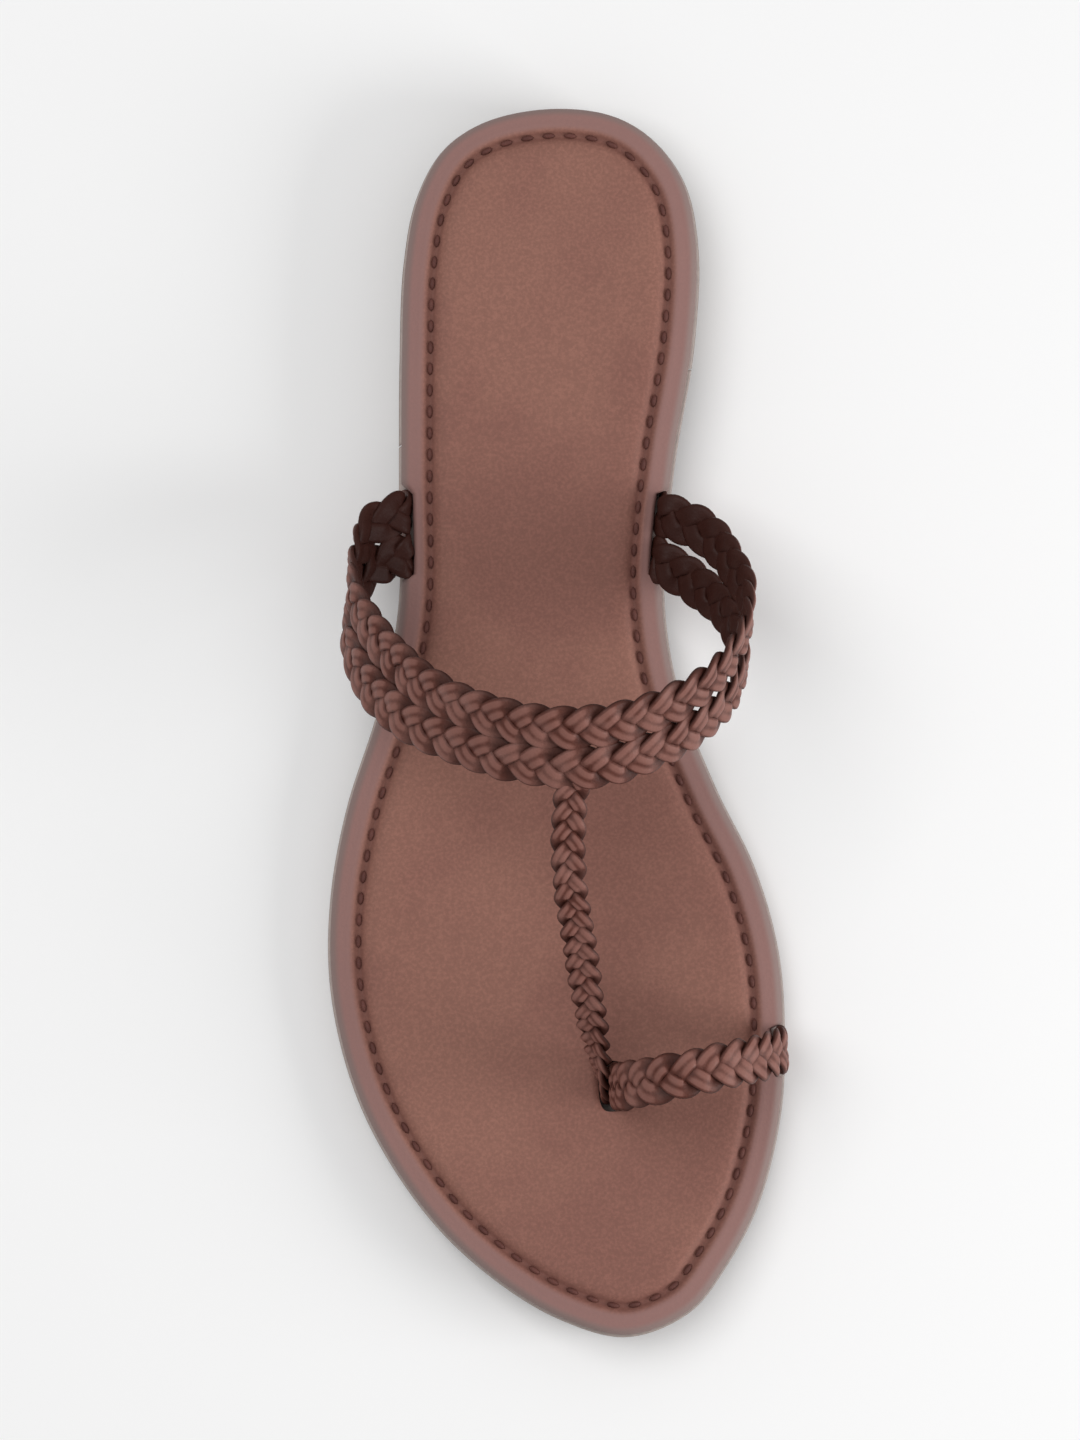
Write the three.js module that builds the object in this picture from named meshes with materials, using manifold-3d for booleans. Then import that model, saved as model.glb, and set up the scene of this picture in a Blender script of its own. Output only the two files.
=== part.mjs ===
// Right-foot sandal with braided leather straps, in millimetres.
// +X is the inner side of the foot, -Y the toe and +Z up. The sole stands on z = 0.
// "along" is the distance from the back of the heel towards the toe.
import * as THREE from "three";
import { mergeVertices } from "three/addons/utils/BufferGeometryUtils.js";
import Module from "manifold-3d";

const wasm = await Module();
wasm.setup();

// Sole
const soleLength = 250;
const ballWidth = 90;
const heelRise = 7.9;
const toeSpring = 6.3;
const runnerThickness = 2.6;
const ledge = 0.6;
const seatGap = 0.3;

// Heel
const heelBreast = 64;
const breastSkew = 6.3;
const breastCove = 9;
const breastLean = 1.8;
const heelTaper = 1.1;
const liftThickness = 2.2;

// Footbed
const footbedThickness = 5.2;
const edgeRadius = 1.3;
const channelInset = 5.8;
const padRise = 0.7;
const padSlope = 2.2;
const seamDepth = 0.4;
const seamHeight = 1.2;

// Straps
const strapThickness = 1.9;
const braidRelief = 0.9;
const scallop = 0.55;
const strapProud = 0.8;
const strapClearance = 0.4;
const bandWidth = 18;
const bandHeight = 63.2;
const bandLobe = 5.7;
const slitWidth = 1.5;
const bandSeatLateral = 85;
const bandSeatMedial = 88.7;
const tStrapWidth = 7.2;
const tStrapLobe = 4.2;
const loopWidth = 10;
const loopHeight = 30;
const loopLobe = 5;
const loopSeat = 194.5;
const postAlong = 199.8;
const postSpacing = 2.2;
const trimAllowance = 1.5;

// Sole outline: along is a share of the length, the half widths are shares of the ball width
const outlineRows = [
  { along: 0.008, lateral: 0.160, medial: 0.125 },
  { along: 0.028, lateral: 0.252, medial: 0.212 },
  { along: 0.066, lateral: 0.318, medial: 0.281 },
  { along: 0.120, lateral: 0.356, medial: 0.303 },
  { along: 0.200, lateral: 0.378, medial: 0.280 },
  { along: 0.300, lateral: 0.396, medial: 0.217 },
  { along: 0.400, lateral: 0.415, medial: 0.177 },
  { along: 0.480, lateral: 0.474, medial: 0.196 },
  { along: 0.560, lateral: 0.560, medial: 0.266 },
  { along: 0.630, lateral: 0.608, medial: 0.346 },
  { along: 0.700, lateral: 0.622, medial: 0.387 },
  { along: 0.770, lateral: 0.595, medial: 0.388 },
  { along: 0.830, lateral: 0.537, medial: 0.368 },
  { along: 0.900, lateral: 0.420, medial: 0.306 },
  { along: 0.950, lateral: 0.285, medial: 0.222 },
  { along: 0.984, lateral: 0.145, medial: 0.135 },
];
const heelBackAcross = -0.015;
const toeTipAcross = -0.004;
const stepsPerRow = 3;

// Side profile: heel is a share of the heel rise, toe a share of the toe spring
const profileRows = [
  { along: 0.00, heel: 0.90, toe: 0 },
  { along: 0.10, heel: 0.96, toe: 0 },
  { along: 0.20, heel: 1.00, toe: 0 },
  { along: 0.26, heel: 1.00, toe: 0 },
  { along: 0.33, heel: 0.87, toe: 0 },
  { along: 0.40, heel: 0.62, toe: 0 },
  { along: 0.48, heel: 0.34, toe: 0 },
  { along: 0.56, heel: 0.11, toe: 0 },
  { along: 0.64, heel: 0, toe: 0 },
  { along: 0.77, heel: 0, toe: 0 },
  { along: 0.84, heel: 0, toe: 0.18 },
  { along: 0.92, heel: 0, toe: 0.55 },
  { along: 1.00, heel: 0, toe: 1 },
];

// Instep band, from the outer side over the crown to the inner side.
// across is a share of the ball width, along of the sole's length, height of the band's height.
// shift and drop say how far the front edge lies to the inner side and below the rear edge.
const bandRows = [
  { across: -0.452, along: 0.350, height: 0.275, shift: 0.12, drop: 0.45 },
  { across: -0.500, along: 0.377, height: 0.355, shift: -0.02, drop: 0.70 },
  { across: -0.516, along: 0.401, height: 0.428, shift: -0.16, drop: 0.76 },
  { across: -0.507, along: 0.423, height: 0.500, shift: -0.28, drop: 0.74 },
  { across: -0.484, along: 0.443, height: 0.575, shift: -0.38, drop: 0.70 },
  { across: -0.450, along: 0.463, height: 0.662, shift: -0.45, drop: 0.66 },
  { across: -0.393, along: 0.486, height: 0.768, shift: -0.44, drop: 0.62 },
  { across: -0.284, along: 0.511, height: 0.890, shift: -0.31, drop: 0.62 },
  { across: -0.150, along: 0.530, height: 0.972, shift: -0.20, drop: 0.56 },
  { across: 0.000, along: 0.536, height: 1.000, shift: -0.05, drop: 0.50 },
  { across: 0.156, along: 0.522, height: 0.950, shift: 0.00, drop: 0.60 },
  { across: 0.278, along: 0.494, height: 0.830, shift: 0.00, drop: 0.70 },
  { across: 0.342, along: 0.454, height: 0.660, shift: -0.10, drop: 0.72 },
  { across: 0.328, along: 0.416, height: 0.490, shift: -0.28, drop: 0.58 },
  { across: 0.261, along: 0.378, height: 0.320, shift: -0.30, drop: 0.30 },
];

// Slits between the band's two braids, as shares of the band's length from either end
const slitRows = [
  { start: 0.055, end: 0.105 },
  { start: 0.115, end: 0.165 },
  { start: 0.170, end: 0.215 },
  { start: 0.230, end: 0.280 },
  { start: 0.305, end: 0.325 },
  { start: 0.345, end: 0.362 },
];

// T-strap, from under the band to the toe post; turn is its twist in degrees
const tStrapRows = [
  { across: -0.044, along: 0.548, height: 0.945, turn: 0 },
  { across: -0.062, along: 0.580, height: 0.893, turn: 0 },
  { across: -0.073, along: 0.624, height: 0.830, turn: 0 },
  { across: -0.065, along: 0.664, height: 0.732, turn: 4 },
  { across: -0.054, along: 0.702, height: 0.610, turn: 10 },
  { across: -0.042, along: 0.740, height: 0.486, turn: 22 },
  { across: -0.029, along: 0.772, height: 0.350, turn: 48 },
  { across: -0.020, along: 0.790, height: 0.245, turn: 75 },
];

// Toe loop, from the toe post over the big toe; height is a share of the loop's height
const loopRows = [
  { across: 0.008, along: 0.800, height: 0.40 },
  { across: 0.030, along: 0.800, height: 0.70 },
  { across: 0.084, along: 0.798, height: 0.92 },
  { across: 0.161, along: 0.794, height: 1.00 },
  { across: 0.250, along: 0.789, height: 0.91 },
  { across: 0.328, along: 0.784, height: 0.67 },
  { across: 0.371, along: 0.780, height: 0.38 },
];

// Reads one column of a table at a share of the length, flat where its rows are level
function readProfile(rows, column, share) {
  const last = rows.length - 1;
  const at = THREE.MathUtils.clamp(share, rows[0].along, rows[last].along);
  const slopes = rows.slice(1).map((row, i) => (row[column] - rows[i][column]) / (row.along - rows[i].along));
  const tangent = (i) => {
    if (i === 0) return slopes[0];
    if (i === last) return slopes[last - 1];
    if (slopes[i - 1] * slopes[i] <= 0) return 0;
    return (2 * slopes[i - 1] * slopes[i]) / (slopes[i - 1] + slopes[i]);
  };
  let i = 0;
  while (i < last - 1 && rows[i + 1].along < at) i += 1;
  const span = rows[i + 1].along - rows[i].along;
  const t = (at - rows[i].along) / span;
  const start = (2 * t ** 3 - 3 * t ** 2 + 1) * rows[i][column];
  const end = (-2 * t ** 3 + 3 * t ** 2) * rows[i + 1][column];
  const startSlope = (t ** 3 - 2 * t ** 2 + t) * span * tangent(i);
  const endSlope = (t ** 3 - t ** 2) * span * tangent(i + 1);
  return start + startSlope + end + endSlope;
}

// Height of the runner's tread above the floor, as if it went on under the heel
function treadHeight(y) {
  const share = 0.5 - y / soleLength;
  const heel = readProfile(profileRows, "heel", share) * heelRise;
  const toe = readProfile(profileRows, "toe", share) * toeSpring;
  return heel + toe;
}

const runnerTop = (y) => treadHeight(y) + runnerThickness;
const footbedBottom = (y) => runnerTop(y) + seatGap;
const footbedTop = (y) => footbedBottom(y) + footbedThickness;

// The sole's outline as a closed ring, from the heel's back along the outer side to the toe
// and back along the inner side, each point with its outward direction
function makeOutline() {
  const place = (across, along) => new THREE.Vector3(across * ballWidth, (0.5 - along) * soleLength, 0);
  const outer = outlineRows.map((row) => place(-row.lateral, row.along));
  const inner = outlineRows.map((row) => place(row.medial, row.along)).reverse();
  const knots = [place(heelBackAcross, 0), ...outer, place(toeTipAcross, 1), ...inner];
  const curve = new THREE.CatmullRomCurve3(knots, true, "centripetal");
  const count = knots.length * stepsPerRow;
  const points = Array.from({ length: count }, (_, i) => curve.getPoint(i / count));
  return points.map((point, i) => {
    const ahead = points[(i + 1) % count];
    const behind = points[(i + count - 1) % count];
    const tangent = ahead.clone().sub(behind).normalize();
    return { point, tangent, outward: new THREE.Vector3(-tangent.y, tangent.x, 0).negate() };
  });
}

const outline = makeOutline();

// Point, direction and outward side of the outline at a distance along one side of the shoe
function edgeAt(side, along) {
  const y = soleLength / 2 - along;
  const half = outline.length / 2;
  const run = side < 0 ? outline.slice(0, half + 1) : [...outline.slice(half), outline[0]].reverse();
  const i = run.findIndex((entry, k) => k > 0 && entry.point.y <= y);
  const [a, b] = [run[i - 1], run[i]];
  const t = (a.point.y - y) / (a.point.y - b.point.y);
  const toToe = b.point.clone().sub(a.point).normalize();
  const outward = new THREE.Vector3(side * Math.abs(toToe.y), side * Math.sign(-toToe.y) * toToe.x, 0);
  return { point: a.point.clone().lerp(b.point, t), toToe, outward };
}

// Closed geometry from equal rings of points; capFaces lists the triangles of one end
function geometryFromRings(rings, capFaces) {
  const size = rings[0].length;
  const positions = rings.flat().flatMap((point) => point.toArray());
  const faces = [];
  for (let r = 0; r + 1 < rings.length; r += 1) {
    for (let i = 0; i < size; i += 1) {
      const j = (i + 1) % size;
      const [a, b, c, d] = [r * size + i, r * size + j, (r + 1) * size + j, (r + 1) * size + i];
      faces.push([a, b, c], [a, c, d]);
    }
  }
  const top = (rings.length - 1) * size;
  capFaces.forEach(([a, b, c]) => faces.push([a, c, b], [top + a, top + b, top + c]));
  const volume = faces.reduce((sum, [a, b, c]) => {
    const [p, q, r] = [a, b, c].map((k) => new THREE.Vector3().fromArray(positions, 3 * k));
    return sum + p.dot(q.cross(r));
  }, 0);
  const outwardFaces = volume > 0 ? faces : faces.map(([a, b, c]) => [a, c, b]);
  const geometry = new THREE.BufferGeometry();
  geometry.setAttribute("position", new THREE.Float32BufferAttribute(positions, 3));
  geometry.setIndex(outwardFaces.flat());
  return geometry;
}

// Manifold solid from a closed geometry, and back again
function toSolid(geometry) {
  const bare = geometry.clone();
  bare.deleteAttribute("normal");
  bare.deleteAttribute("uv");
  const merged = mergeVertices(bare, 1e-4);
  const vertProperties = new Float32Array(merged.attributes.position.array);
  const triVerts = new Uint32Array(merged.index.array);
  return new wasm.Manifold(new wasm.Mesh({ numProp: 3, vertProperties, triVerts }));
}

function toGeometry(solid) {
  const mesh = solid.getMesh();
  const geometry = new THREE.BufferGeometry();
  geometry.setAttribute("position", new THREE.Float32BufferAttribute(mesh.vertProperties, 3));
  geometry.setIndex(Array.from(mesh.triVerts));
  geometry.computeVertexNormals();
  return geometry;
}

// A layer of the sole: each level has an inset from the outline and a height as a function of y
function soleLayer(levels) {
  const rings = levels.map(({ inset, height }) =>
    outline.map(({ point, outward }) => {
      const moved = point.clone().addScaledVector(outward, -inset);
      return moved.setZ(height(moved.y));
    }),
  );
  const count = outline.length;
  const half = count / 2;
  const cap = [[0, 1, count - 1], [half - 1, half, half + 1]];
  for (let i = 1; i < half - 1; i += 1) {
    cap.push([i, i + 1, count - i - 1], [i, count - i - 1, count - i]);
  }
  return toSolid(geometryFromRings(rings, cap));
}

// The space behind the heel's breast: coved in plan, and leaning back towards the floor
function behindBreast(setBack) {
  const reach = ballWidth * 0.45;
  const depth = soleLength;
  const breastY = soleLength / 2 - heelBreast + setBack;
  const shape = new THREE.Shape();
  shape.moveTo(-reach, breastY - breastSkew);
  shape.quadraticCurveTo(-reach * 0.17, breastY + breastCove * 2, reach, breastY + breastSkew);
  shape.lineTo(reach, breastY + depth);
  shape.lineTo(-reach, breastY + depth);
  shape.closePath();
  const tall = 4 * (heelRise + runnerThickness);
  const geometry = new THREE.ExtrudeGeometry(shape, { depth: tall, bevelEnabled: false, curveSegments: 10 });
  geometry.translate(0, 0, -runnerThickness);
  const lean = breastLean / (heelRise + runnerThickness);
  geometry.applyMatrix4(new THREE.Matrix4().makeShear(0, 0, 0, 0, 0, -lean));
  geometry.translate(0, breastLean, 0);
  return toSolid(geometry);
}

// Frames along a strap: centre, width direction and outer face direction at even steps
function strapFrames(knots, step) {
  const curve = new THREE.CatmullRomCurve3(knots.map((knot) => knot.centre), false, "centripetal");
  const count = Math.max(4, Math.round(curve.getLength() / step));
  curve.arcLengthDivisions = count * 8;
  curve.updateArcLengths();
  const last = knots.length - 1;
  return Array.from({ length: count + 1 }, (_, i) => {
    const share = i / count;
    const t = curve.getUtoTmapping(share);
    const centre = curve.getPoint(t);
    const tangent = curve.getTangent(t);
    const place = Math.min(t * last, last - 1e-6);
    const k = Math.floor(place);
    const blend = THREE.MathUtils.smoothstep(place - k, 0, 1);
    const width = knots[k].width.clone().lerp(knots[k + 1].width, blend);
    width.addScaledVector(tangent, -width.dot(tangent)).normalize();
    const outer = width.clone().cross(tangent).normalize();
    return { centre, width, outer, travelled: share * curve.getLength() };
  });
}

// Height of a braid of three strands over its slab, from 0 to 1
function braidHeight(travelled, across, halfWidth, lobe) {
  const swing = halfWidth * 0.56;
  const strandHalf = halfWidth * 0.6;
  const turn = (2 * Math.PI * travelled) / (3 * lobe);
  let top = 0;
  for (let strand = 0; strand < 3; strand += 1) {
    const phase = turn + (strand * 2 * Math.PI) / 3;
    const slope = ((2 * Math.PI) / (3 * lobe)) * swing * Math.cos(phase);
    const off = Math.abs(across - swing * Math.sin(phase)) / Math.sqrt(1 + slope * slope) / strandHalf;
    const over = 0.5 + 0.5 * Math.sin(2 * phase);
    if (off < 1) top = Math.max(top, (0.35 + 0.65 * over) * Math.sqrt(1 - off * off));
  }
  return top;
}

// How far a braid's edge draws in between two lobes, from 0 to 1
function edgeDip(travelled, side, lobe) {
  const phase = (2 * Math.PI * travelled) / lobe + (side > 0 ? 0.5 : 1.5) * Math.PI;
  return 0.5 - 0.5 * Math.sin(phase);
}

// A strap of one or more braids side by side: flat inside, its strands raised outside
function braidedStrap({ knots, width, braids, lobe, cells }) {
  const frames = strapFrames(knots, lobe / 4);
  const braidHalf = width / braids / 2;
  const valley = strapThickness * 0.2;
  const rings = frames.map(({ centre, width: side, outer, travelled }) => {
    const at = (across, height) =>
      centre.clone().addScaledVector(side, across).addScaledVector(outer, height);
    const edge = (sign) => sign * (width / 2 - scallop * edgeDip(travelled, sign, lobe));
    const ring = [at(edge(-1), valley)];
    for (let braid = 0; braid < braids; braid += 1) {
      const middle = (braid - (braids - 1) / 2) * 2 * braidHalf;
      if (braid > 0) ring.push(at(middle - braidHalf, valley));
      for (let cell = 1; cell < cells; cell += 1) {
        const across = braidHalf * ((2 * cell) / cells - 1) * 0.98;
        const raised = braidHeight(travelled, across, braidHalf, lobe);
        ring.push(at(middle + across, strapThickness / 2 + braidRelief * raised));
      }
    }
    const inside = -strapThickness / 2;
    ring.push(at(edge(1), valley), at(edge(1), inside), at(0, inside), at(edge(-1), inside));
    return ring;
  });
  return toSolid(geometryFromRings(rings, ringCap(rings[0], frames[0])));
}

// Triangles over the end ring of a strap
function ringCap(ring, { centre, width, outer }) {
  const flat = ring.map((point) => {
    const offset = point.clone().sub(centre);
    return new THREE.Vector2(offset.dot(width), offset.dot(outer));
  });
  const faces = THREE.ShapeUtils.triangulateShape(flat, []);
  return THREE.ShapeUtils.isClockWise(flat) ? faces.map(([a, b, c]) => [a, c, b]) : faces;
}

// A plain slab that follows a strap, for cutting; halfWidth may change along it
function slab(frames, halfWidth, below, above) {
  const rings = frames.map(({ centre, width, outer }, i) => {
    const half = halfWidth(i / (frames.length - 1));
    const at = (across, height) =>
      centre.clone().addScaledVector(width, across).addScaledVector(outer, height);
    return [at(-half, above), at(half, above), at(half, -below), at(-half, -below)];
  });
  return toSolid(geometryFromRings(rings, ringCap(rings[0], frames[0])));
}

// Two knots where a strap stands on the runner, let into the footbed's edge
function edgeSeat(side, along) {
  const { point, toToe, outward } = edgeAt(side, along);
  const slope = (footbedBottom(point.y + toToe.y) - footbedBottom(point.y - toToe.y)) / 2;
  const width = toToe.clone().setZ(slope).normalize();
  const rise = outward.clone().cross(width).multiplyScalar(side).normalize();
  rise.multiplyScalar(Math.sign(rise.z));
  const inset = strapThickness / 2 + braidRelief - strapProud;
  const seat = point.clone().addScaledVector(outward, -inset).setZ(footbedBottom(point.y));
  const foot = seat.clone().addScaledVector(rise, -trimAllowance);
  const brim = seat.clone().addScaledVector(rise, footbedThickness);
  return { foot: { centre: foot, width }, brim: { centre: brim, width }, rise };
}

// Turns a table row into a point of the shoe
function rowPoint(row, height) {
  return new THREE.Vector3(row.across * ballWidth, (0.5 - row.along) * soleLength, height);
}

function bandKnots() {
  const lateral = edgeSeat(-1, bandSeatLateral);
  const medial = edgeSeat(1, bandSeatMedial);
  const rows = bandRows.map((row) => {
    const forward = Math.sqrt(1 - row.shift ** 2 - row.drop ** 2);
    return {
      centre: rowPoint(row, row.height * bandHeight),
      width: new THREE.Vector3(row.shift, -forward, -row.drop),
    };
  });
  return [lateral.foot, lateral.brim, ...rows, medial.brim, medial.foot];
}

const postY = soleLength / 2 - postAlong;

function tStrapKnots() {
  const rows = tStrapRows.map((row) => ({ centre: rowPoint(row, row.height * bandHeight), turn: row.turn }));
  const foot = new THREE.Vector3(-postSpacing / 2, postY, footbedBottom(postY) - trimAllowance);
  const brim = foot.clone().setZ(footbedTop(postY) + strapThickness);
  const all = [...rows, { centre: brim, turn: 90 }, { centre: foot, turn: 90 }];
  return all.map(({ centre, turn }, i) => {
    const ahead = all[Math.min(i + 1, all.length - 1)].centre;
    const behind = all[Math.max(i - 1, 0)].centre;
    const tangent = ahead.clone().sub(behind).normalize();
    const level = new THREE.Vector3(-1, 0, 0);
    level.addScaledVector(tangent, -level.dot(tangent)).normalize();
    const outer = level.clone().cross(tangent);
    const angle = THREE.MathUtils.degToRad(turn);
    const width = level.multiplyScalar(Math.cos(angle)).addScaledVector(outer, -Math.sin(angle));
    return { centre, width };
  });
}

function loopKnots() {
  const forward = new THREE.Vector3(0, -1, 0);
  const base = footbedTop(postY);
  const foot = new THREE.Vector3(postSpacing / 2, postY, footbedBottom(postY) - trimAllowance);
  const brim = foot.clone().setZ(base);
  const seat = edgeSeat(1, loopSeat);
  const rows = loopRows.map((row) => ({
    centre: rowPoint(row, base + row.height * loopHeight),
    width: forward.clone(),
  }));
  return [
    { centre: foot, width: forward.clone() },
    { centre: brim, width: forward.clone() },
    ...rows,
    seat.brim,
    seat.foot,
  ];
}

function makeUpper() {
  const bandSizes = { width: bandWidth, braids: 2, lobe: bandLobe, cells: 5 };
  const tStrapSizes = { width: tStrapWidth, braids: 1, lobe: tStrapLobe, cells: 4 };
  const loopSizes = { width: loopWidth, braids: 1, lobe: loopLobe, cells: 5 };
  const band = braidedStrap({ knots: bandKnots(), ...bandSizes });
  const tStrap = braidedStrap({ knots: tStrapKnots(), ...tStrapSizes });
  const loop = braidedStrap({ knots: loopKnots(), ...loopSizes });
  return band.subtract(bandSlits()).add(tStrap).add(loop).subtract(belowFootbed());
}

// Everything under the footbed, where the straps' ends are trimmed
function belowFootbed() {
  const spread = -2 * strapThickness;
  return soleLayer([
    { inset: spread, height: (y) => treadHeight(y) - runnerThickness },
    { inset: spread, height: footbedBottom },
  ]);
}

// The open slits between the band's two braids, the same from both ends
function bandSlits() {
  const frames = strapFrames(bandKnots(), bandLobe / 4);
  const last = frames.length - 1;
  const reach = strapThickness + braidRelief;
  const spindle = (share) => 0.05 + (slitWidth / 2) * Math.sqrt(Math.sin(Math.PI * share) + 1e-3);
  const cuts = slitRows.flatMap(({ start, end }) =>
    [[start, end], [1 - end, 1 - start]].map(([from, to]) => {
      const run = frames.slice(Math.round(from * last), Math.round(to * last) + 1);
      return slab(run, spindle, reach, reach);
    }),
  );
  return cuts.reduce((all, cut) => all.add(cut));
}

// Space that a strap's end takes out of the footbed's edge
function seatCut(side, along, width) {
  const { foot, brim, rise } = edgeSeat(side, along);
  const low = { centre: foot.centre.clone().addScaledVector(rise, -footbedThickness), width: foot.width };
  const high = { centre: brim.centre.clone().addScaledVector(rise, footbedThickness), width: foot.width };
  const frames = [low, high].map(({ centre, width: towards }) => ({
    centre,
    width: towards,
    outer: towards.clone().cross(rise).multiplyScalar(-side).normalize(),
  }));
  const half = width / 2 + strapClearance;
  return slab(frames, () => half, strapThickness / 2 + 2 * strapClearance, 4 * strapThickness);
}

// Slot in the footbed for the toe post
function postSlot() {
  const half = (postSpacing + strapThickness) / 2 + strapClearance;
  const outerSide = half + braidRelief;
  const long = loopWidth + 2 * strapClearance;
  const shape = new THREE.Shape();
  shape.moveTo(-outerSide, postY - long / 2);
  shape.lineTo(half, postY - long / 2);
  shape.lineTo(half, postY + long / 2);
  shape.lineTo(-outerSide, postY + long / 2);
  shape.closePath();
  const geometry = new THREE.ExtrudeGeometry(shape, { depth: 4 * footbedThickness, bevelEnabled: false });
  geometry.translate(0, 0, footbedBottom(postY) - footbedThickness);
  return toSolid(geometry);
}

function makeFootbed() {
  const seam = (y) => footbedBottom(y) + seamHeight;
  const body = soleLayer([
    { inset: seamDepth, height: footbedBottom },
    { inset: 0, height: (y) => seam(y) - seamDepth },
    { inset: seamDepth, height: seam },
    { inset: 0, height: (y) => seam(y) + seamDepth },
    { inset: 0, height: (y) => footbedTop(y) - edgeRadius },
    { inset: edgeRadius * 0.3, height: (y) => footbedTop(y) - edgeRadius * 0.3 },
    { inset: edgeRadius, height: footbedTop },
    { inset: channelInset, height: footbedTop },
    { inset: channelInset + padSlope, height: (y) => footbedTop(y) + padRise },
  ]);
  return body
    .subtract(seatCut(-1, bandSeatLateral, bandWidth))
    .subtract(seatCut(1, bandSeatMedial, bandWidth))
    .subtract(seatCut(1, loopSeat, loopWidth))
    .subtract(postSlot());
}

function makeOutsole() {
  const bevel = ledge / 2;
  const runner = soleLayer([
    { inset: bevel, height: treadHeight },
    { inset: -ledge, height: (y) => treadHeight(y) + ledge },
    { inset: -ledge, height: (y) => runnerTop(y) - bevel },
    { inset: bevel - ledge, height: runnerTop },
  ]);
  return runner.subtract(behindBreast(-seatGap));
}

function makeHeel() {
  const block = soleLayer([
    { inset: heelTaper - ledge, height: () => liftThickness + seatGap },
    { inset: bevelAt(0.25), height: (y) => THREE.MathUtils.lerp(liftThickness, runnerTop(y), 0.8) },
    { inset: -ledge, height: (y) => runnerTop(y) - ledge / 2 },
    { inset: -ledge / 2, height: runnerTop },
  ]);
  return block.intersect(behindBreast(0));
}

// Inset of the heel's wall at a share of its taper
function bevelAt(share) {
  return heelTaper * share - ledge;
}

function makeLift() {
  const lift = soleLayer([
    { inset: heelTaper, height: () => 0 },
    { inset: heelTaper - ledge, height: () => ledge },
    { inset: heelTaper - ledge, height: () => liftThickness },
  ]);
  return lift.intersect(behindBreast(0));
}

function addPiece(group, name, solid, color, roughness) {
  const material = new THREE.MeshStandardMaterial({ color, roughness, metalness: 0 });
  const mesh = new THREE.Mesh(toGeometry(solid), material);
  mesh.name = name;
  group.add(mesh);
}

const sandal = new THREE.Group();
addPiece(sandal, "outsole", makeOutsole(), 0x7d6c61, 0.7);
addPiece(sandal, "heel", makeHeel(), 0x85726a, 0.6);
addPiece(sandal, "heel_lift", makeLift(), 0x5b4c45, 0.8);
addPiece(sandal, "footbed", makeFootbed(), 0x8b6258, 0.65);
addPiece(sandal, "upper", makeUpper(), 0x5c3f38, 0.5);

// The origin is the middle of the shoe's footprint, on the floor
const box = new THREE.Box3().setFromObject(sandal);
const middle = box.getCenter(new THREE.Vector3());
sandal.position.set(-middle.x, -middle.y, 0);
sandal.updateMatrixWorld(true);

export default sandal;
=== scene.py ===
"""Right-foot sandal with braided leather straps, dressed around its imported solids.

Lengths are in metres, in the solids' own frame: +X is the inner side of the foot,
-Y the toe and +Z up. "along" is the distance from the back of the heel.
"""
import math
from collections import namedtuple

import bmesh
import bpy
from bpy.props import FloatProperty, FloatVectorProperty, IntProperty, PointerProperty
from mathutils import Matrix, Vector
from mathutils.kdtree import KDTree


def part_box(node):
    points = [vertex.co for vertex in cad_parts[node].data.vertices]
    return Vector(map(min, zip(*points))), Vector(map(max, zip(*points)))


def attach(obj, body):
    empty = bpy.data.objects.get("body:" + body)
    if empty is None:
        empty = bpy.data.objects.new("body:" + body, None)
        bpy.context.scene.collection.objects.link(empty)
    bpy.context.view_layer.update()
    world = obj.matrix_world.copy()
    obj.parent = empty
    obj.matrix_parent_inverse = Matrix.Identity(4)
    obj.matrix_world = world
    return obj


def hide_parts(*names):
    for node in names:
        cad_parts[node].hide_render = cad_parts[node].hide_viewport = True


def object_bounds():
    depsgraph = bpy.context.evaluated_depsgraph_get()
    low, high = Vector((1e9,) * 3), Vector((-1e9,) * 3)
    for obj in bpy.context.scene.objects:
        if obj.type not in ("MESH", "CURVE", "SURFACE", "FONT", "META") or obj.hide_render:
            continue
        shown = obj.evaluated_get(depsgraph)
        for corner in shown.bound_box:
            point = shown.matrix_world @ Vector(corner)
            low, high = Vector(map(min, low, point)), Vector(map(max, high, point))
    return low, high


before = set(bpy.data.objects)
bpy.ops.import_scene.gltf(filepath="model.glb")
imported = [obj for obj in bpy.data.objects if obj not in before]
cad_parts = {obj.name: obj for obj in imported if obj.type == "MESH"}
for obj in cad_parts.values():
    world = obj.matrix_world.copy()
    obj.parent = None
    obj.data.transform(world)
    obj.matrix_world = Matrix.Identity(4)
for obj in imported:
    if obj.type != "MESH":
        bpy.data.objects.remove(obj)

bl_info = {
    "name": "Braided Sandal",
    "version": (1, 0, 0),
    "blender": (4, 5, 0),
    "location": "View3D > Sidebar > Sandal",
    "description": "Builds a flat leather sandal with braided straps around its solids",
    "category": "Add Mesh",
}

SOLID_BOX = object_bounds()
FOOTBED_LOW, FOOTBED_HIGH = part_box("footbed")
SOLE_LENGTH = FOOTBED_HIGH.y - FOOTBED_LOW.y
MM = 0.001
TOUCHING = 1e-6

OutlineRow = namedtuple("OutlineRow", "along lateral medial")
ProfileRow = namedtuple("ProfileRow", "along heel toe")
BandRow = namedtuple("BandRow", "across along height shift drop")
StrapRow = namedtuple("StrapRow", "across along height turn")
GapRow = namedtuple("GapRow", "along gap")
SideRow = namedtuple("SideRow", "inset rise")
ChannelRow = namedtuple("ChannelRow", "off drop")
Knot = namedtuple("Knot", "centre width")
StrapFrame = namedtuple("StrapFrame", "centre width outer travelled share")

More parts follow.
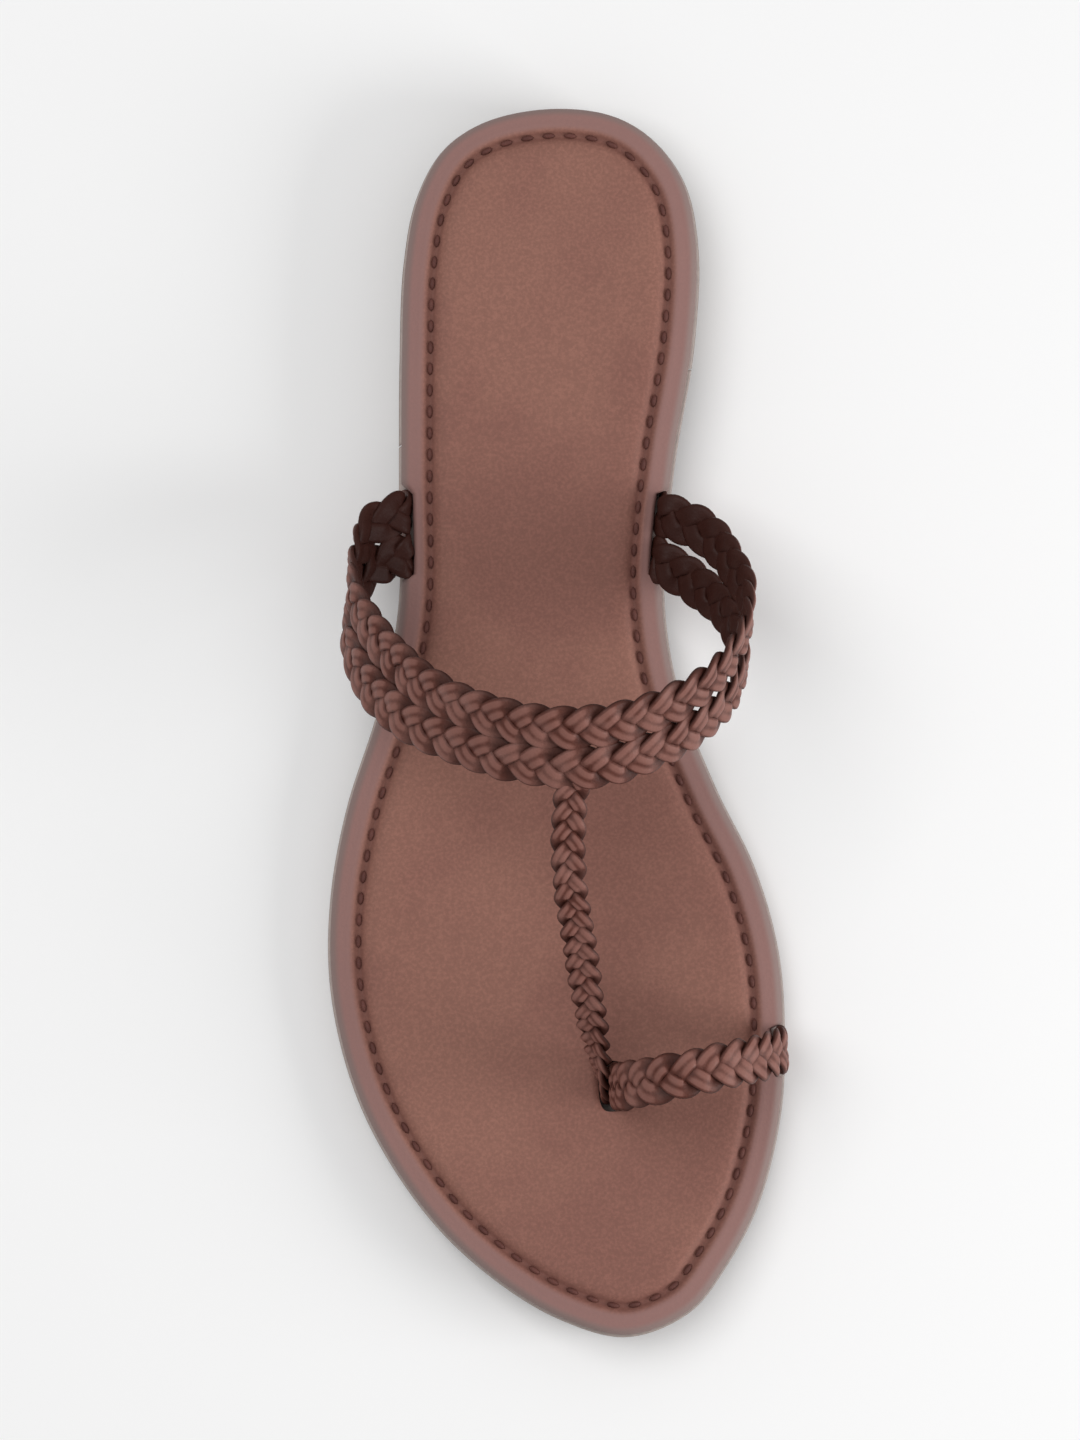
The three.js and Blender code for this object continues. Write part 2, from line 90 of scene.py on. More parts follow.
# Outline: along is a share of the length, the half widths are shares of the ball width.
OUTLINE = (
    OutlineRow(0.008, 0.160, 0.125),
    OutlineRow(0.028, 0.252, 0.212),
    OutlineRow(0.066, 0.318, 0.281),
    OutlineRow(0.120, 0.356, 0.303),
    OutlineRow(0.200, 0.378, 0.280),
    OutlineRow(0.300, 0.396, 0.217),
    OutlineRow(0.400, 0.415, 0.177),
    OutlineRow(0.480, 0.474, 0.196),
    OutlineRow(0.560, 0.560, 0.266),
    OutlineRow(0.630, 0.608, 0.346),
    OutlineRow(0.700, 0.622, 0.387),
    OutlineRow(0.770, 0.595, 0.388),
    OutlineRow(0.830, 0.537, 0.368),
    OutlineRow(0.900, 0.420, 0.306),
    OutlineRow(0.950, 0.285, 0.222),
    OutlineRow(0.984, 0.145, 0.135),
)
HEEL_BACK_ACROSS = -0.015
TOE_TIP_ACROSS = -0.004

# Side profile: heel is a share of the heel rise, toe a share of the toe spring.
PROFILE = (
    ProfileRow(0.00, 0.90, 0),
    ProfileRow(0.10, 0.96, 0),
    ProfileRow(0.20, 1.00, 0),
    ProfileRow(0.26, 1.00, 0),
    ProfileRow(0.33, 0.87, 0),
    ProfileRow(0.40, 0.62, 0),
    ProfileRow(0.48, 0.34, 0),
    ProfileRow(0.56, 0.11, 0),
    ProfileRow(0.64, 0, 0),
    ProfileRow(0.77, 0, 0),
    ProfileRow(0.84, 0, 0.18),
    ProfileRow(0.92, 0, 0.55),
    ProfileRow(1.00, 0, 1),
)

# Instep band: shares of ball width, length and band height, from the outer side inwards.
# shift and drop say how far the front edge lies to the inner side and below the rear edge.
BAND = (
    BandRow(-0.452, 0.350, 0.275, 0.12, 0.45),
    BandRow(-0.500, 0.377, 0.355, -0.02, 0.70),
    BandRow(-0.516, 0.401, 0.428, -0.16, 0.76),
    BandRow(-0.507, 0.423, 0.500, -0.28, 0.74),
    BandRow(-0.484, 0.443, 0.575, -0.38, 0.70),
    BandRow(-0.450, 0.463, 0.662, -0.45, 0.66),
    BandRow(-0.393, 0.486, 0.768, -0.44, 0.62),
    BandRow(-0.284, 0.511, 0.890, -0.31, 0.62),
    BandRow(-0.150, 0.530, 0.972, -0.20, 0.56),
    BandRow(0.000, 0.536, 1.000, -0.05, 0.50),
    BandRow(0.156, 0.522, 0.950, 0.00, 0.60),
    BandRow(0.278, 0.494, 0.830, 0.00, 0.70),
    BandRow(0.342, 0.454, 0.660, -0.10, 0.72),
    BandRow(0.328, 0.416, 0.490, -0.28, 0.58),
    BandRow(0.261, 0.378, 0.320, -0.30, 0.30),
)

# Gap between the band's two braids, in millimetres, over the band's length.
BAND_GAPS = (
    GapRow(0.00, 0.0),
    GapRow(0.05, -0.6),
    GapRow(0.10, -0.7),
    GapRow(0.14, -0.3),
    GapRow(0.18, 0.4),
    GapRow(0.21, 0.8),
    GapRow(0.24, 0.6),
    GapRow(0.28, 0.3),
    GapRow(0.33, -0.2),
    GapRow(0.36, -0.3),
    GapRow(0.60, -0.4),
    GapRow(0.68, 0.3),
    GapRow(0.73, 1.4),
    GapRow(0.76, 2.0),
    GapRow(0.80, 1.6),
    GapRow(0.84, 0.4),
    GapRow(0.89, 1.1),
    GapRow(0.93, 1.2),
    GapRow(0.97, 0.2),
    GapRow(1.00, 0.0),
)

# Footbed's side from its underside to above the seam: inset and height, in millimetres.
FOOTBED_SIDE = (
    SideRow(5.00, 0.00),
    SideRow(0.50, 0.00),
    SideRow(0.25, 0.15),
    SideRow(0.05, 0.40),
    SideRow(0.00, 0.85),
    SideRow(0.15, 1.05),
    SideRow(0.40, 1.20),
    SideRow(0.12, 1.35),
    SideRow(0.00, 1.60),
)

# Channel: distance inwards from its middle, and depth below the footbed's edge, in millimetres.
CHANNEL = (
    ChannelRow(-2.6, -0.10),
    ChannelRow(-1.8, -0.32),
    ChannelRow(-1.2, -0.16),
    ChannelRow(-0.6, 0.34),
    ChannelRow(0.0, 0.62),
    ChannelRow(0.6, 0.40),
    ChannelRow(1.2, -0.22),
    ChannelRow(1.8, -0.62),
)

# T-strap, from under the band to the toe post; turn is its twist in degrees.
T_STRAP = (
    StrapRow(-0.044, 0.548, 0.945, 0),
    StrapRow(-0.062, 0.580, 0.893, 0),
    StrapRow(-0.073, 0.624, 0.830, 0),
    StrapRow(-0.065, 0.664, 0.732, 4),
    StrapRow(-0.054, 0.702, 0.610, 10),
    StrapRow(-0.042, 0.740, 0.486, 22),
    StrapRow(-0.029, 0.772, 0.350, 48),
    StrapRow(-0.020, 0.790, 0.245, 75),
)

# Toe loop, from the toe post over the big toe; height is a share of the loop's height.
TOE_LOOP = (
    StrapRow(0.008, 0.800, 0.40, 0),
    StrapRow(0.030, 0.800, 0.70, 0),
    StrapRow(0.084, 0.798, 0.92, 0),
    StrapRow(0.161, 0.794, 1.00, 0),
    StrapRow(0.250, 0.789, 0.91, 0),
    StrapRow(0.328, 0.784, 0.67, 0),
    StrapRow(0.371, 0.780, 0.38, 0),
)


def length(name, description, default):
    return FloatProperty(
        name=name, description=description, default=default, subtype="DISTANCE", unit="LENGTH"
    )


def colour(name, description, default):
    return FloatVectorProperty(
        name=name, description=description, default=default, size=4, subtype="COLOR", min=0, max=1
    )


def power(name, description, default):
    return FloatProperty(
        name=name, description=description, default=default, subtype="UNSIGNED", min=0
    )


class SandalSole(bpy.types.PropertyGroup):
    """Sizes of the sole."""

    ball_width: length("Ball width", "Width that the outline's shares refer to", 0.090)
    heel_rise: length("Heel rise", "Height of the runner's line above the floor at the heel", 0.0079)
    toe_spring: length("Toe spring", "Height of the runner above the floor at the toe", 0.0063)
    runner: length("Runner", "Thickness of the runner", 0.0026)
    ledge: length("Ledge", "How far the runner stands out under the footbed", 0.0006)
    seat_gap: length("Seat gap", "Gap between glued pieces", 0.0003)
    footbed: length("Footbed", "Thickness of the footbed at its edge", 0.0052)
    edge_radius: length("Edge radius", "Roundness of the footbed's upper edge", 0.0019)
    channel: length("Channel", "Distance of the stitched channel from the edge", 0.0058)
    pad_rise: length("Pad rise", "Rise of the padded middle above the edge", 0.0009)
    lift: length("Top piece", "Thickness of the heel's top piece", 0.0022)
    taper: length("Heel taper", "How far the heel's wall leans in", 0.0011)
    breast: length("Breast", "Distance of the heel's breast from the back", 0.064)
    stitch_pitch: length("Stitch pitch", "Distance from stitch to stitch", 0.0044)
    stitch_length: length("Stitch length", "Length of one stitch", 0.0027)
    thread: length("Thread", "Thickness of the thread", 0.0012)
    columns: IntProperty(
        name="Steps per row", description="Points between two rows of the outline", default=22, min=3
    )


class SandalStraps(bpy.types.PropertyGroup):
    """Sizes of the braided straps."""

    thickness: length("Wall", "Thickness of a strap's plain wall in the solids", 0.0019)
    relief: length("Relief", "How far the strands stand out of that wall", 0.0009)
    proud: length("Proud", "How far a strap stands out of the footbed's edge", 0.0008)
    strand: length("Strand thickness", "Thickness of one leather strand", 0.00145)
    weave: length("Weave height", "How far a strand rises and dips", 0.00066)
    band_width: length("Band width", "Width of the instep band", 0.018)
    band_height: length("Band height", "Height of the band's middle line at the crown", 0.0632)
    band_lobe: length("Band lobe", "Distance between two lumps of the band's edge", 0.0057)
    band_lateral: length("Outer seat", "Distance of the band's outer end from the heel", 0.085)
    band_medial: length("Inner seat", "Distance of the band's inner end from the heel", 0.0887)
    t_width: length("T-strap width", "Width of the T-strap", 0.0072)
    loop_width: length("Loop width", "Width of the toe loop", 0.010)
    loop_height: length("Loop height", "Height of the toe loop above the footbed", 0.030)
    t_lobe: length("T-strap lobe", "Distance between two lumps of the T-strap's edge", 0.0042)
    loop_lobe: length("Loop lobe", "Distance between two lumps of the loop's edge", 0.005)
    tuck: length("Tuck", "How far the strap's ends run under the footbed", 0.0008)
    loop_seat: length("Loop seat", "Distance of the loop's inner end from the heel", 0.1945)
    post: length("Toe post", "Distance of the toe post from the heel", 0.1998)
    post_spacing: length("Post spacing", "Distance between the two straps in the post", 0.0022)


class SandalFinish(bpy.types.PropertyGroup):
    """Colours of the sandal."""

    footbed: colour("Footbed", "Leather of the footbed", (0.292, 0.135, 0.102, 1))
    footbed_dark: colour("Footbed shade", "Duller patches of the footbed", (0.255, 0.113, 0.088, 1))
    # Rim colour: partly greyer leather, partly a painted highlight along the rolled edge.
    rim_grey_and_highlight: colour("Rim", "Footbed outside the channel", (0.292, 0.163, 0.150, 1))
    # Channel colour: painted shade in the stitched groove; the thread's darker patches reuse it.
    channel_shade: colour("Channel", "Leather pressed into the channel", (0.140, 0.052, 0.042, 1))
    wall: colour("Wall", "Footbed's side", (0.245, 0.172, 0.158, 1))
    strap: colour("Straps", "Outer face of the strands", (0.128, 0.041, 0.029, 1))
    # Lighter strap tone: the leather's random patches, and a painted highlight on the strands' tops.
    strap_patches_and_highlight: colour("Strap wear", "Tops of the strands", (0.238, 0.106, 0.085, 1))
    # Painted shade on the strands' inner faces, edges, crossings and creases.
    strap_painted_shade: colour("Strap shade", "Inner face and edges of the strands", (0.034, 0.009, 0.006, 1))
    runner: colour("Runner", "Side of the runner", (0.225, 0.170, 0.148, 1))
    # Painted highlight on the upward faces of the runner's ledge and the heel block.
    runner_top: colour("Ledge", "Top of the runner's ledge", (0.420, 0.350, 0.320, 1))
    heel: colour("Heel", "Heel block", (0.185, 0.138, 0.115, 1))
    lift: colour("Top piece", "Heel's top piece", (0.060, 0.043, 0.035, 1))
    thread: colour("Thread", "Stitching", (0.105, 0.038, 0.031, 1))
    floor: colour("Floor", "Studio floor", (0.94, 0.94, 0.94, 1))


class SandalStage(bpy.types.PropertyGroup):
    """The camera and the light."""

    elevation: FloatProperty(
        name="Elevation", description="Camera above the horizon, on the toe's side",
        default=math.radians(86), subtype="ANGLE", unit="ROTATION",
    )
    roll: FloatProperty(
        name="Roll", description="Turn of the shoe in the picture",
        default=math.radians(3.5), subtype="ANGLE", unit="ROTATION",
    )
    picture_height: length("Picture height", "Height of what the picture shows", 0.292)
    focal: FloatProperty(
        name="Focal length", description="Focal length in millimetres", default=150, subtype="UNSIGNED"
    )
    top_power: power("Top light", "Power of the softbox above the heel", 5.2)
    side_power: power("Side light", "Power of the softbox at the inner side", 6.0)
    sky: power("Sky", "Strength of the even light all round", 0.50)


def sole():
    return bpy.context.scene.sandal_sole


def straps():
    return bpy.context.scene.sandal_straps


def finish():
    return bpy.context.scene.sandal_finish


# Curves


def curve_point(knots, t, closed):
    """Point of a smooth curve through the knots, t from 0 to 1, paced by the roots of their gaps."""
    count = len(knots)
    place = (count if closed else count - 1) * t
    k = int(math.floor(place))
    weight = place - k
    if not closed and k >= count - 1:
        k, weight = count - 2, 1.0
    p1, p2 = knots[k % count], knots[(k + 1) % count]
    p0 = knots[(k - 1) % count] if closed or k > 0 else p1 * 2 - p2
    p3 = knots[(k + 2) % count] if closed or k + 2 < count else p2 * 2 - p1
    d0, d1, d2 = (max(math.sqrt((b - a).length), 1e-6) for a, b in ((p0, p1), (p1, p2), (p2, p3)))
    start = ((p1 - p0) / d0 - (p2 - p0) / (d0 + d1) + (p2 - p1) / d1) * d1
    end = ((p2 - p1) / d1 - (p3 - p1) / (d1 + d2) + (p3 - p2) / d2) * d1
    square = (p2 - p1) * 3 - start * 2 - end
    cube = (p1 - p2) * 2 + start + end
    return p1 + start * weight + square * weight**2 + cube * weight**3


def read_rows(rows, column, share):
    """Value of a table's column at a share of the length, level where its rows are level."""
    last = len(rows) - 1
    at = min(max(share, rows[0].along), rows[last].along)
    slopes = [
        (getattr(b, column) - getattr(a, column)) / (b.along - a.along)
        for a, b in zip(rows, rows[1:])
    ]

    def tangent(i):
        if i == 0:
            return slopes[0]
        if i == last:
            return slopes[-1]
        if slopes[i - 1] * slopes[i] <= 0:
            return 0
        return 2 * slopes[i - 1] * slopes[i] / (slopes[i - 1] + slopes[i])

    i = 0
    while i < last - 1 and rows[i + 1].along < at:
        i += 1
    span = rows[i + 1].along - rows[i].along
    t = (at - rows[i].along) / span
    start = (2 * t**3 - 3 * t**2 + 1) * getattr(rows[i], column)
    start += (t**3 - 2 * t**2 + t) * span * tangent(i)
    end = (3 * t**2 - 2 * t**3) * getattr(rows[i + 1], column)
    end += (t**3 - t**2) * span * tangent(i + 1)
    return start + end


def smooth(low, high, value):
    t = min(max((value - low) / (high - low), 0), 1)
    return t * t * (3 - 2 * t)


# The sole's own surfaces


def tread_height(y):
    """Height of the runner's underside, which rises to the heel and to the toe."""
    share = 0.5 - y / SOLE_LENGTH
    rise = read_rows(PROFILE, "heel", share) * sole().heel_rise
    return rise + read_rows(PROFILE, "toe", share) * sole().toe_spring


def runner_top(y):
    return tread_height(y) + sole().runner


def footbed_bottom(y):
    return runner_top(y) + sole().seat_gap


def footbed_top(y):
    return footbed_bottom(y) + sole().footbed


def outline_shift():
    """How far across the outline moves to lie where the footbed's solid has it."""
    knots, steps = outline_knots(0), 400
    points = [curve_point(knots, i / steps, True) for i in range(steps)]
    middle = (min(p.x for p in points) + max(p.x for p in points)) / 2
    return (FOOTBED_LOW.x + FOOTBED_HIGH.x) / 2 - middle


def outline_knots(shift):
    """Corner points of the sole's closed outline, moved across by the shift."""

    def place(across, along):
        return Vector((across * sole().ball_width + shift, (0.5 - along) * SOLE_LENGTH, 0))

    outer = [place(-row.lateral, row.along) for row in OUTLINE]
    inner = [place(row.medial, row.along) for row in reversed(OUTLINE)]
    return [place(HEEL_BACK_ACROSS, 0), *outer, place(TOE_TIP_ACROSS, 1), *inner]


def outline_ring():
    """Points of the outline with their outward directions, heel, outer side, toe, inner side."""
    knots = outline_knots(outline_shift())
    count = len(knots) * sole().columns
    points = [curve_point(knots, i / count, True) for i in range(count)]
    ring = []
    for i, point in enumerate(points):
        tangent = (points[(i + 1) % count] - points[i - 1]).normalized()
        ring.append((point, Vector((tangent.y, -tangent.x, 0))))
    return ring


def edge_at(ring, side, along):
    """Point, direction to the toe and outward direction at a distance along one side."""
    y = SOLE_LENGTH / 2 - along
    half = len(ring) // 2
    run = ring[: half + 1] if side < 0 else [ring[0], *reversed(ring[half:])]
    k = next(i for i in range(1, len(run)) if run[i][0].y <= y)
    a, b = run[k - 1][0], run[k][0]
    point = a.lerp(b, (a.y - y) / (a.y - b.y))
    to_toe = (b - a).normalized()
    outward = Vector((-to_toe.y * side, to_toe.x * side, 0))
    return point, to_toe, outward


# Meshes


def new_piece(name, mesh, material=None):
    piece = bpy.data.objects.new(name, mesh)
    bpy.context.scene.collection.objects.link(piece)
    if material is not None:
        mesh.materials.clear()
        mesh.materials.append(material)
    return piece


def mesh_from(name, points, faces):
    mesh = bpy.data.meshes.new(name)
    mesh.from_pydata([tuple(p) for p in points], [], faces)
    mesh.update()
    return mesh


def point_faces_out(mesh):
    """Merges doubled points, turns the faces outwards and shades them smooth."""
    work = bmesh.new()
    work.from_mesh(mesh)
    bmesh.ops.remove_doubles(work, verts=work.verts, dist=TOUCHING)
    bmesh.ops.recalc_face_normals(work, faces=work.faces)
    work.to_mesh(mesh)
    work.free()
    for polygon in mesh.polygons:
        polygon.use_smooth = True


def layer_mesh(name, ring, levels, across):
    """Closed layer of the sole: levels hold an inset and a height, both functions of a ring point."""
    count, half = len(ring), len(ring) // 2
    points = []
    for inset, height in levels:
        for point, outward in ring:
            moved = point - outward * inset(point)
            moved.z = height(moved)
            points.append(moved)
    faces = []
    for level in range(len(levels) - 1):
        a = level * count
        for i in range(count):
            j = (i + 1) % count
            faces.append((a + i, a + j, a + count + j, a + count + i))
    for level in (0, len(levels) - 1):
        height = levels[level][1]
        add_ladder(points, faces, level * count, count, half, height, across)
    mesh = mesh_from(name, points, faces)
    point_faces_out(mesh)
    return mesh


def add_ladder(points, faces, start, count, half, height, across):
    """Fills a ring with rungs from its outer side to its inner side."""
    rungs = []
    for i in range(1, half):
        left, right = start + i, start + count - i
        rung = [left]
        for k in range(1, across):
            point = points[left].lerp(points[right], k / across)
            point.z = height(point)
            rung.append(len(points))
            points.append(point)
        rungs.append([*rung, right])
    faces += [(start, a, b) for a, b in zip(rungs[0], rungs[0][1:])]
    faces += [(start + half, b, a) for a, b in zip(rungs[-1], rungs[-1][1:])]
    for low, high in zip(rungs, rungs[1:]):
        faces += [(low[k], high[k], high[k + 1], low[k + 1]) for k in range(across)]


def block(name, low, high):
    """Closed block between two rings of points that run the same way round."""
    count = len(low)
    faces = [tuple(range(count)), tuple(range(2 * count - 1, count - 1, -1))]
    faces += [(i, (i + 1) % count, count + (i + 1) % count, count + i) for i in range(count)]
    mesh = mesh_from(name, [*low, *high], faces)
    point_faces_out(mesh)
    return new_piece(name, mesh)


def cut(piece, cutter, operation):
    """Cuts one piece by another and removes the cutter."""
    modifier = piece.modifiers.new("cut", "BOOLEAN")
    modifier.operation = operation
    modifier.solver = "EXACT"
    modifier.object = cutter
    settle(piece)
    bpy.data.objects.remove(cutter)


def settle(piece):
    """Turns the piece's evaluated shape into its plain mesh."""
    bpy.context.view_layer.update()
    evaluated = piece.evaluated_get(bpy.context.evaluated_depsgraph_get())
    made = bpy.data.meshes.new_from_object(evaluated)
    piece.modifiers.clear()
    made.name = piece.data.name
    piece.data = made


def stand_in(piece, node):
    """Parents the piece to the root body and hides the solid that it is drawn in place of."""
    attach(piece, "root")
    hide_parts(node)


# Node trees


class Bench:
    """Adds nodes to a tree and links them."""

    def __init__(self, tree):
        self.tree = tree

    def add(self, kind, inputs=None, **settings):
        node = self.tree.nodes.new(kind)
        for key, value in settings.items():
            setattr(node, key, value)
        for key, value in (inputs or {}).items():
            self.feed(node.inputs[key], value)
        return node

    def made(self, kind, inputs=None, **settings):
        """First output of a new node."""
        return self.add(kind, inputs, **settings).outputs[0]

    def feed(self, socket, value):
        if isinstance(value, bpy.types.NodeSocket):
            self.tree.links.new(value, socket)
        else:
            socket.default_value = value

    def math(self, operation, *values):
        return self.made("ShaderNodeMath", dict(enumerate(values)), operation=operation)

    def plus(self, a, b):
        return self.math("ADD", a, b)

    def minus(self, a, b):
        return self.math("SUBTRACT", a, b)

    def times(self, a, b):
        return self.math("MULTIPLY", a, b)

    def vector(self, operation, *values):
        return self.made("ShaderNodeVectorMath", dict(enumerate(values)), operation=operation)

    def scaled(self, vector, factor):
        return self.made("ShaderNodeVectorMath", {0: vector, "Scale": factor}, operation="SCALE")

    def remap(self, value, low, high, to_low, to_high):
        limits = {"From Min": low, "From Max": high, "To Min": to_low, "To Max": to_high}
        inputs = {"Value": value, **limits}
        node = self.add("ShaderNodeMapRange", inputs, interpolation_type="SMOOTHSTEP")
        return node.outputs["Result"]

    def blend(self, factor, a, b, mode="MIX"):
        """Mixes two colours, whose sockets come after the node's plain and vector ones."""
        node = self.add("ShaderNodeMix", data_type="RGBA", blend_type=mode)
        for socket, value in ((0, factor), (6, a), (7, b)):
            self.feed(node.inputs[socket], value)
        return node.outputs[2]

    def grey(self, level):
        return self.made("ShaderNodeCombineColor", {0: level, 1: level, 2: level})

    def noise(self, place, scale, detail, roughness=0.5):
        inputs = {"Vector": place, "Scale": scale, "Detail": detail, "Roughness": roughness}
        return self.add("ShaderNodeTexNoise", inputs).outputs["Fac"]

    def bump(self, height, strength, distance):
        inputs = {"Height": height, "Strength": strength, "Distance": distance}
        return self.made("ShaderNodeBump", inputs)

    def attribute(self, name):
        return self.add("ShaderNodeAttribute", attribute_name=name).outputs["Fac"]

    def upward(self, normal):
        """How far a normal points up, by the name of the geometry node's output."""
        direction = self.add("ShaderNodeNewGeometry").outputs[normal]
        return self.add("ShaderNodeSeparateXYZ", {0: direction}).outputs[2]


def new_tree(name, kind, inputs, outputs):
    """Node group whose sockets are given as a name, a type and, if it has one, a default."""
    tree = bpy.data.node_groups.new(name, kind)
    for in_out, sockets in (("INPUT", inputs), ("OUTPUT", outputs)):
        for label, kind_of_socket, *default in sockets:
            socket = tree.interface.new_socket(
                name=label, in_out=in_out, socket_type="NodeSocket" + kind_of_socket
            )
            if default:
                socket.default_value = default[0]
    return tree


def leather_group():
    """Grain, pores and patches of leather: puts out a colour, a roughness and a height."""
    tree = bpy.data.node_groups.get("leather surface")
    if tree:
        return tree
    tree = new_tree(
        "leather surface",
        "ShaderNodeTree",
        (
            ("Color", "Color"),
            ("Shade", "Color"),
            ("Patch Scale", "Float", 45),
            ("Grain Scale", "Float", 1400),
            ("Roughness", "Float", 0.55),
        ),
        (("Color", "Color"), ("Roughness", "Float"), ("Height", "Float")),
    )
    b = Bench(tree)
    given = b.add("NodeGroupInput").outputs
    place = b.add("ShaderNodeTexCoord").outputs["Object"]
    patches = b.noise(place, given["Patch Scale"], 4.0, 0.55)
    pores = b.add(
        "ShaderNodeTexVoronoi", {"Vector": place, "Scale": given["Grain Scale"]}, feature="F1"
    ).outputs["Distance"]
    fine = b.noise(place, given["Grain Scale"], 3.0, 0.6)
    patched = b.blend(b.remap(patches, 0.38, 0.66, 0.0, 1.0), given["Color"], given["Shade"])
    specks = b.grey(b.remap(fine, 0.35, 0.75, 0.86, 1.10))
    results = {
        "Color": b.blend(1.0, patched, specks, "MULTIPLY"),
        "Roughness": b.plus(given["Roughness"], b.times(b.minus(fine, 0.5), 0.25)),
        "Height": b.plus(b.times(pores, 0.7), b.times(fine, 0.5)),
    }
    b.add("NodeGroupOutput", results)
    return tree


def new_material(name):
    """Material with a bare shader, and the bench on which its other nodes are added."""
    material = bpy.data.materials.new(name)
    material.use_nodes = True
    material.node_tree.nodes.clear()
    bench = Bench(material.node_tree)
    shader = bench.add("ShaderNodeBsdfPrincipled")
    out = bench.add("ShaderNodeOutputMaterial")
    bench.feed(out.inputs["Surface"], shader.outputs[0])
    return material, bench, shader


def leather(name, base, shade, roughness, grain, bump, patch=45, specular=0.2, tint=None):
    """Leather material; tint is a function that changes its colour in places."""
    material, b, shader = new_material(name)
    group = b.add("ShaderNodeGroup", node_tree=leather_group())
    values = {
        "Color": base,
        "Shade": shade,
        "Patch Scale": patch,
        "Grain Scale": grain,
        "Roughness": roughness,
    }
    for key, value in values.items():
        b.feed(group.inputs[key], value)
    tone = group.outputs["Color"]
    if tint is not None:
        tone = tint(b, tone)
    b.feed(shader.inputs["Base Color"], tone)
    b.feed(shader.inputs["Roughness"], group.outputs["Roughness"])
    b.feed(shader.inputs["Normal"], b.bump(group.outputs["Height"], bump, 0.2 * MM))
    shader.inputs["Specular IOR Level"].default_value = specular
    return material


def strand_tint(b, tone):
    """Painted shade on the strands' inner faces, edges, crossings and creases, and a painted highlight
    on their tops.
    """
    # outside holds the strand's light factor for painted light: low on inner faces, edges, crossings
    # and creases, near one on the tops.
    outside = b.attribute("outside")
    # Painted shade where that light factor is low.
    tone = b.blend(outside, finish().strap_painted_shade, tone)
    # Painted highlight on the strands' tops, where the light factor is near one.
    return b.blend(b.remap(outside, 0.72, 1.0, 0.0, 0.75), tone, finish().strap_patches_and_highlight)


def footbed_tint(b, tone):
    """Rim partly greyer and partly lightened as a painted highlight along the rolled edge, a greyer
    wall, and painted shade in the channel, by the distance from the outline in millimetres.
    """
    tones, channel = finish(), sole().channel / MM
    inset = b.attribute("inset")
    # Rim outside the channel: greyer leather, lightened as a painted highlight on the rolled edge.
    rim_grey_and_highlight = b.remap(inset, channel - 2.2, channel - 0.8, 0.8, 0.0)
    # Painted shade in the channel's groove.
    channel_shade = b.times(
        b.remap(inset, channel - 1.4, channel - 0.5, 0.0, 0.5),
        b.remap(inset, channel + 0.5, channel + 1.5, 1.0, 0.0),
    )
    tone = b.blend(rim_grey_and_highlight, tone, tones.rim_grey_and_highlight)
    tone = b.blend(channel_shade, tone, tones.channel_shade)
    return b.blend(b.remap(inset, 0.5, 2.0, 1.0, 0.0), tone, tones.wall)


def store_inset(mesh, ring):
    """Stores each point's distance from the outline, in millimetres, for the footbed's colours."""
    tree = KDTree(len(ring))
    for i, (point, _) in enumerate(ring):
        tree.insert((point.x, point.y, 0), i)
    tree.balance()
    values = []
    for vertex in mesh.vertices:
        flat = Vector((vertex.co.x, vertex.co.y, 0))
        _, i, _ = tree.find(flat)
        point, outward = ring[i]
        values.append(max(0.0, (Vector((point.x, point.y, 0)) - flat).dot(outward) / MM))
    mesh.attributes.new("inset", "FLOAT", "POINT").data.foreach_set("value", values)


# Straps


def edge_seat(ring, side, along):
    """Lower and upper knot of a strap's end, which is let into the footbed's edge."""
    point, to_toe, outward = edge_at(ring, side, along)
    step = to_toe.y * MM
    slope = (footbed_bottom(point.y + step) - footbed_bottom(point.y - step)) / (2 * MM)
    width = Vector((to_toe.x, to_toe.y, slope)).normalized()
    rise = outward.cross(width).normalized()
    rise *= math.copysign(1, rise.z)
    inset = straps().thickness / 2 + straps().relief - straps().proud
    seat = point - outward * inset
    seat.z = footbed_bottom(point.y)
    foot = seat - rise * straps().tuck
    return Knot(foot, width), Knot(seat + rise * sole().footbed, width)


def row_point(row, height, shift):
    return Vector((row.across * sole().ball_width + shift, (0.5 - row.along) * SOLE_LENGTH, height))


def band_knots(ring, shift):
    """Knots of the instep band, from the outer edge of the footbed to the inner one."""
    lateral = edge_seat(ring, -1, straps().band_lateral)
    medial = edge_seat(ring, 1, straps().band_medial)
    rows = []
    for row in BAND:
        forward = math.sqrt(1 - row.shift**2 - row.drop**2)
        width = Vector((row.shift, -forward, -row.drop))
        rows.append(Knot(row_point(row, row.height * straps().band_height, shift), width))
    return [lateral[0], lateral[1], *rows, medial[1], medial[0]]


def post_points(side, shift):
    """Lower and upper point of a strap in the toe post's slot."""
    y = SOLE_LENGTH / 2 - straps().post
    foot = Vector((side * straps().post_spacing / 2 + shift, y, footbed_bottom(y)))
    brim = foot.copy()
    brim.z = footbed_top(y)
    return foot, brim


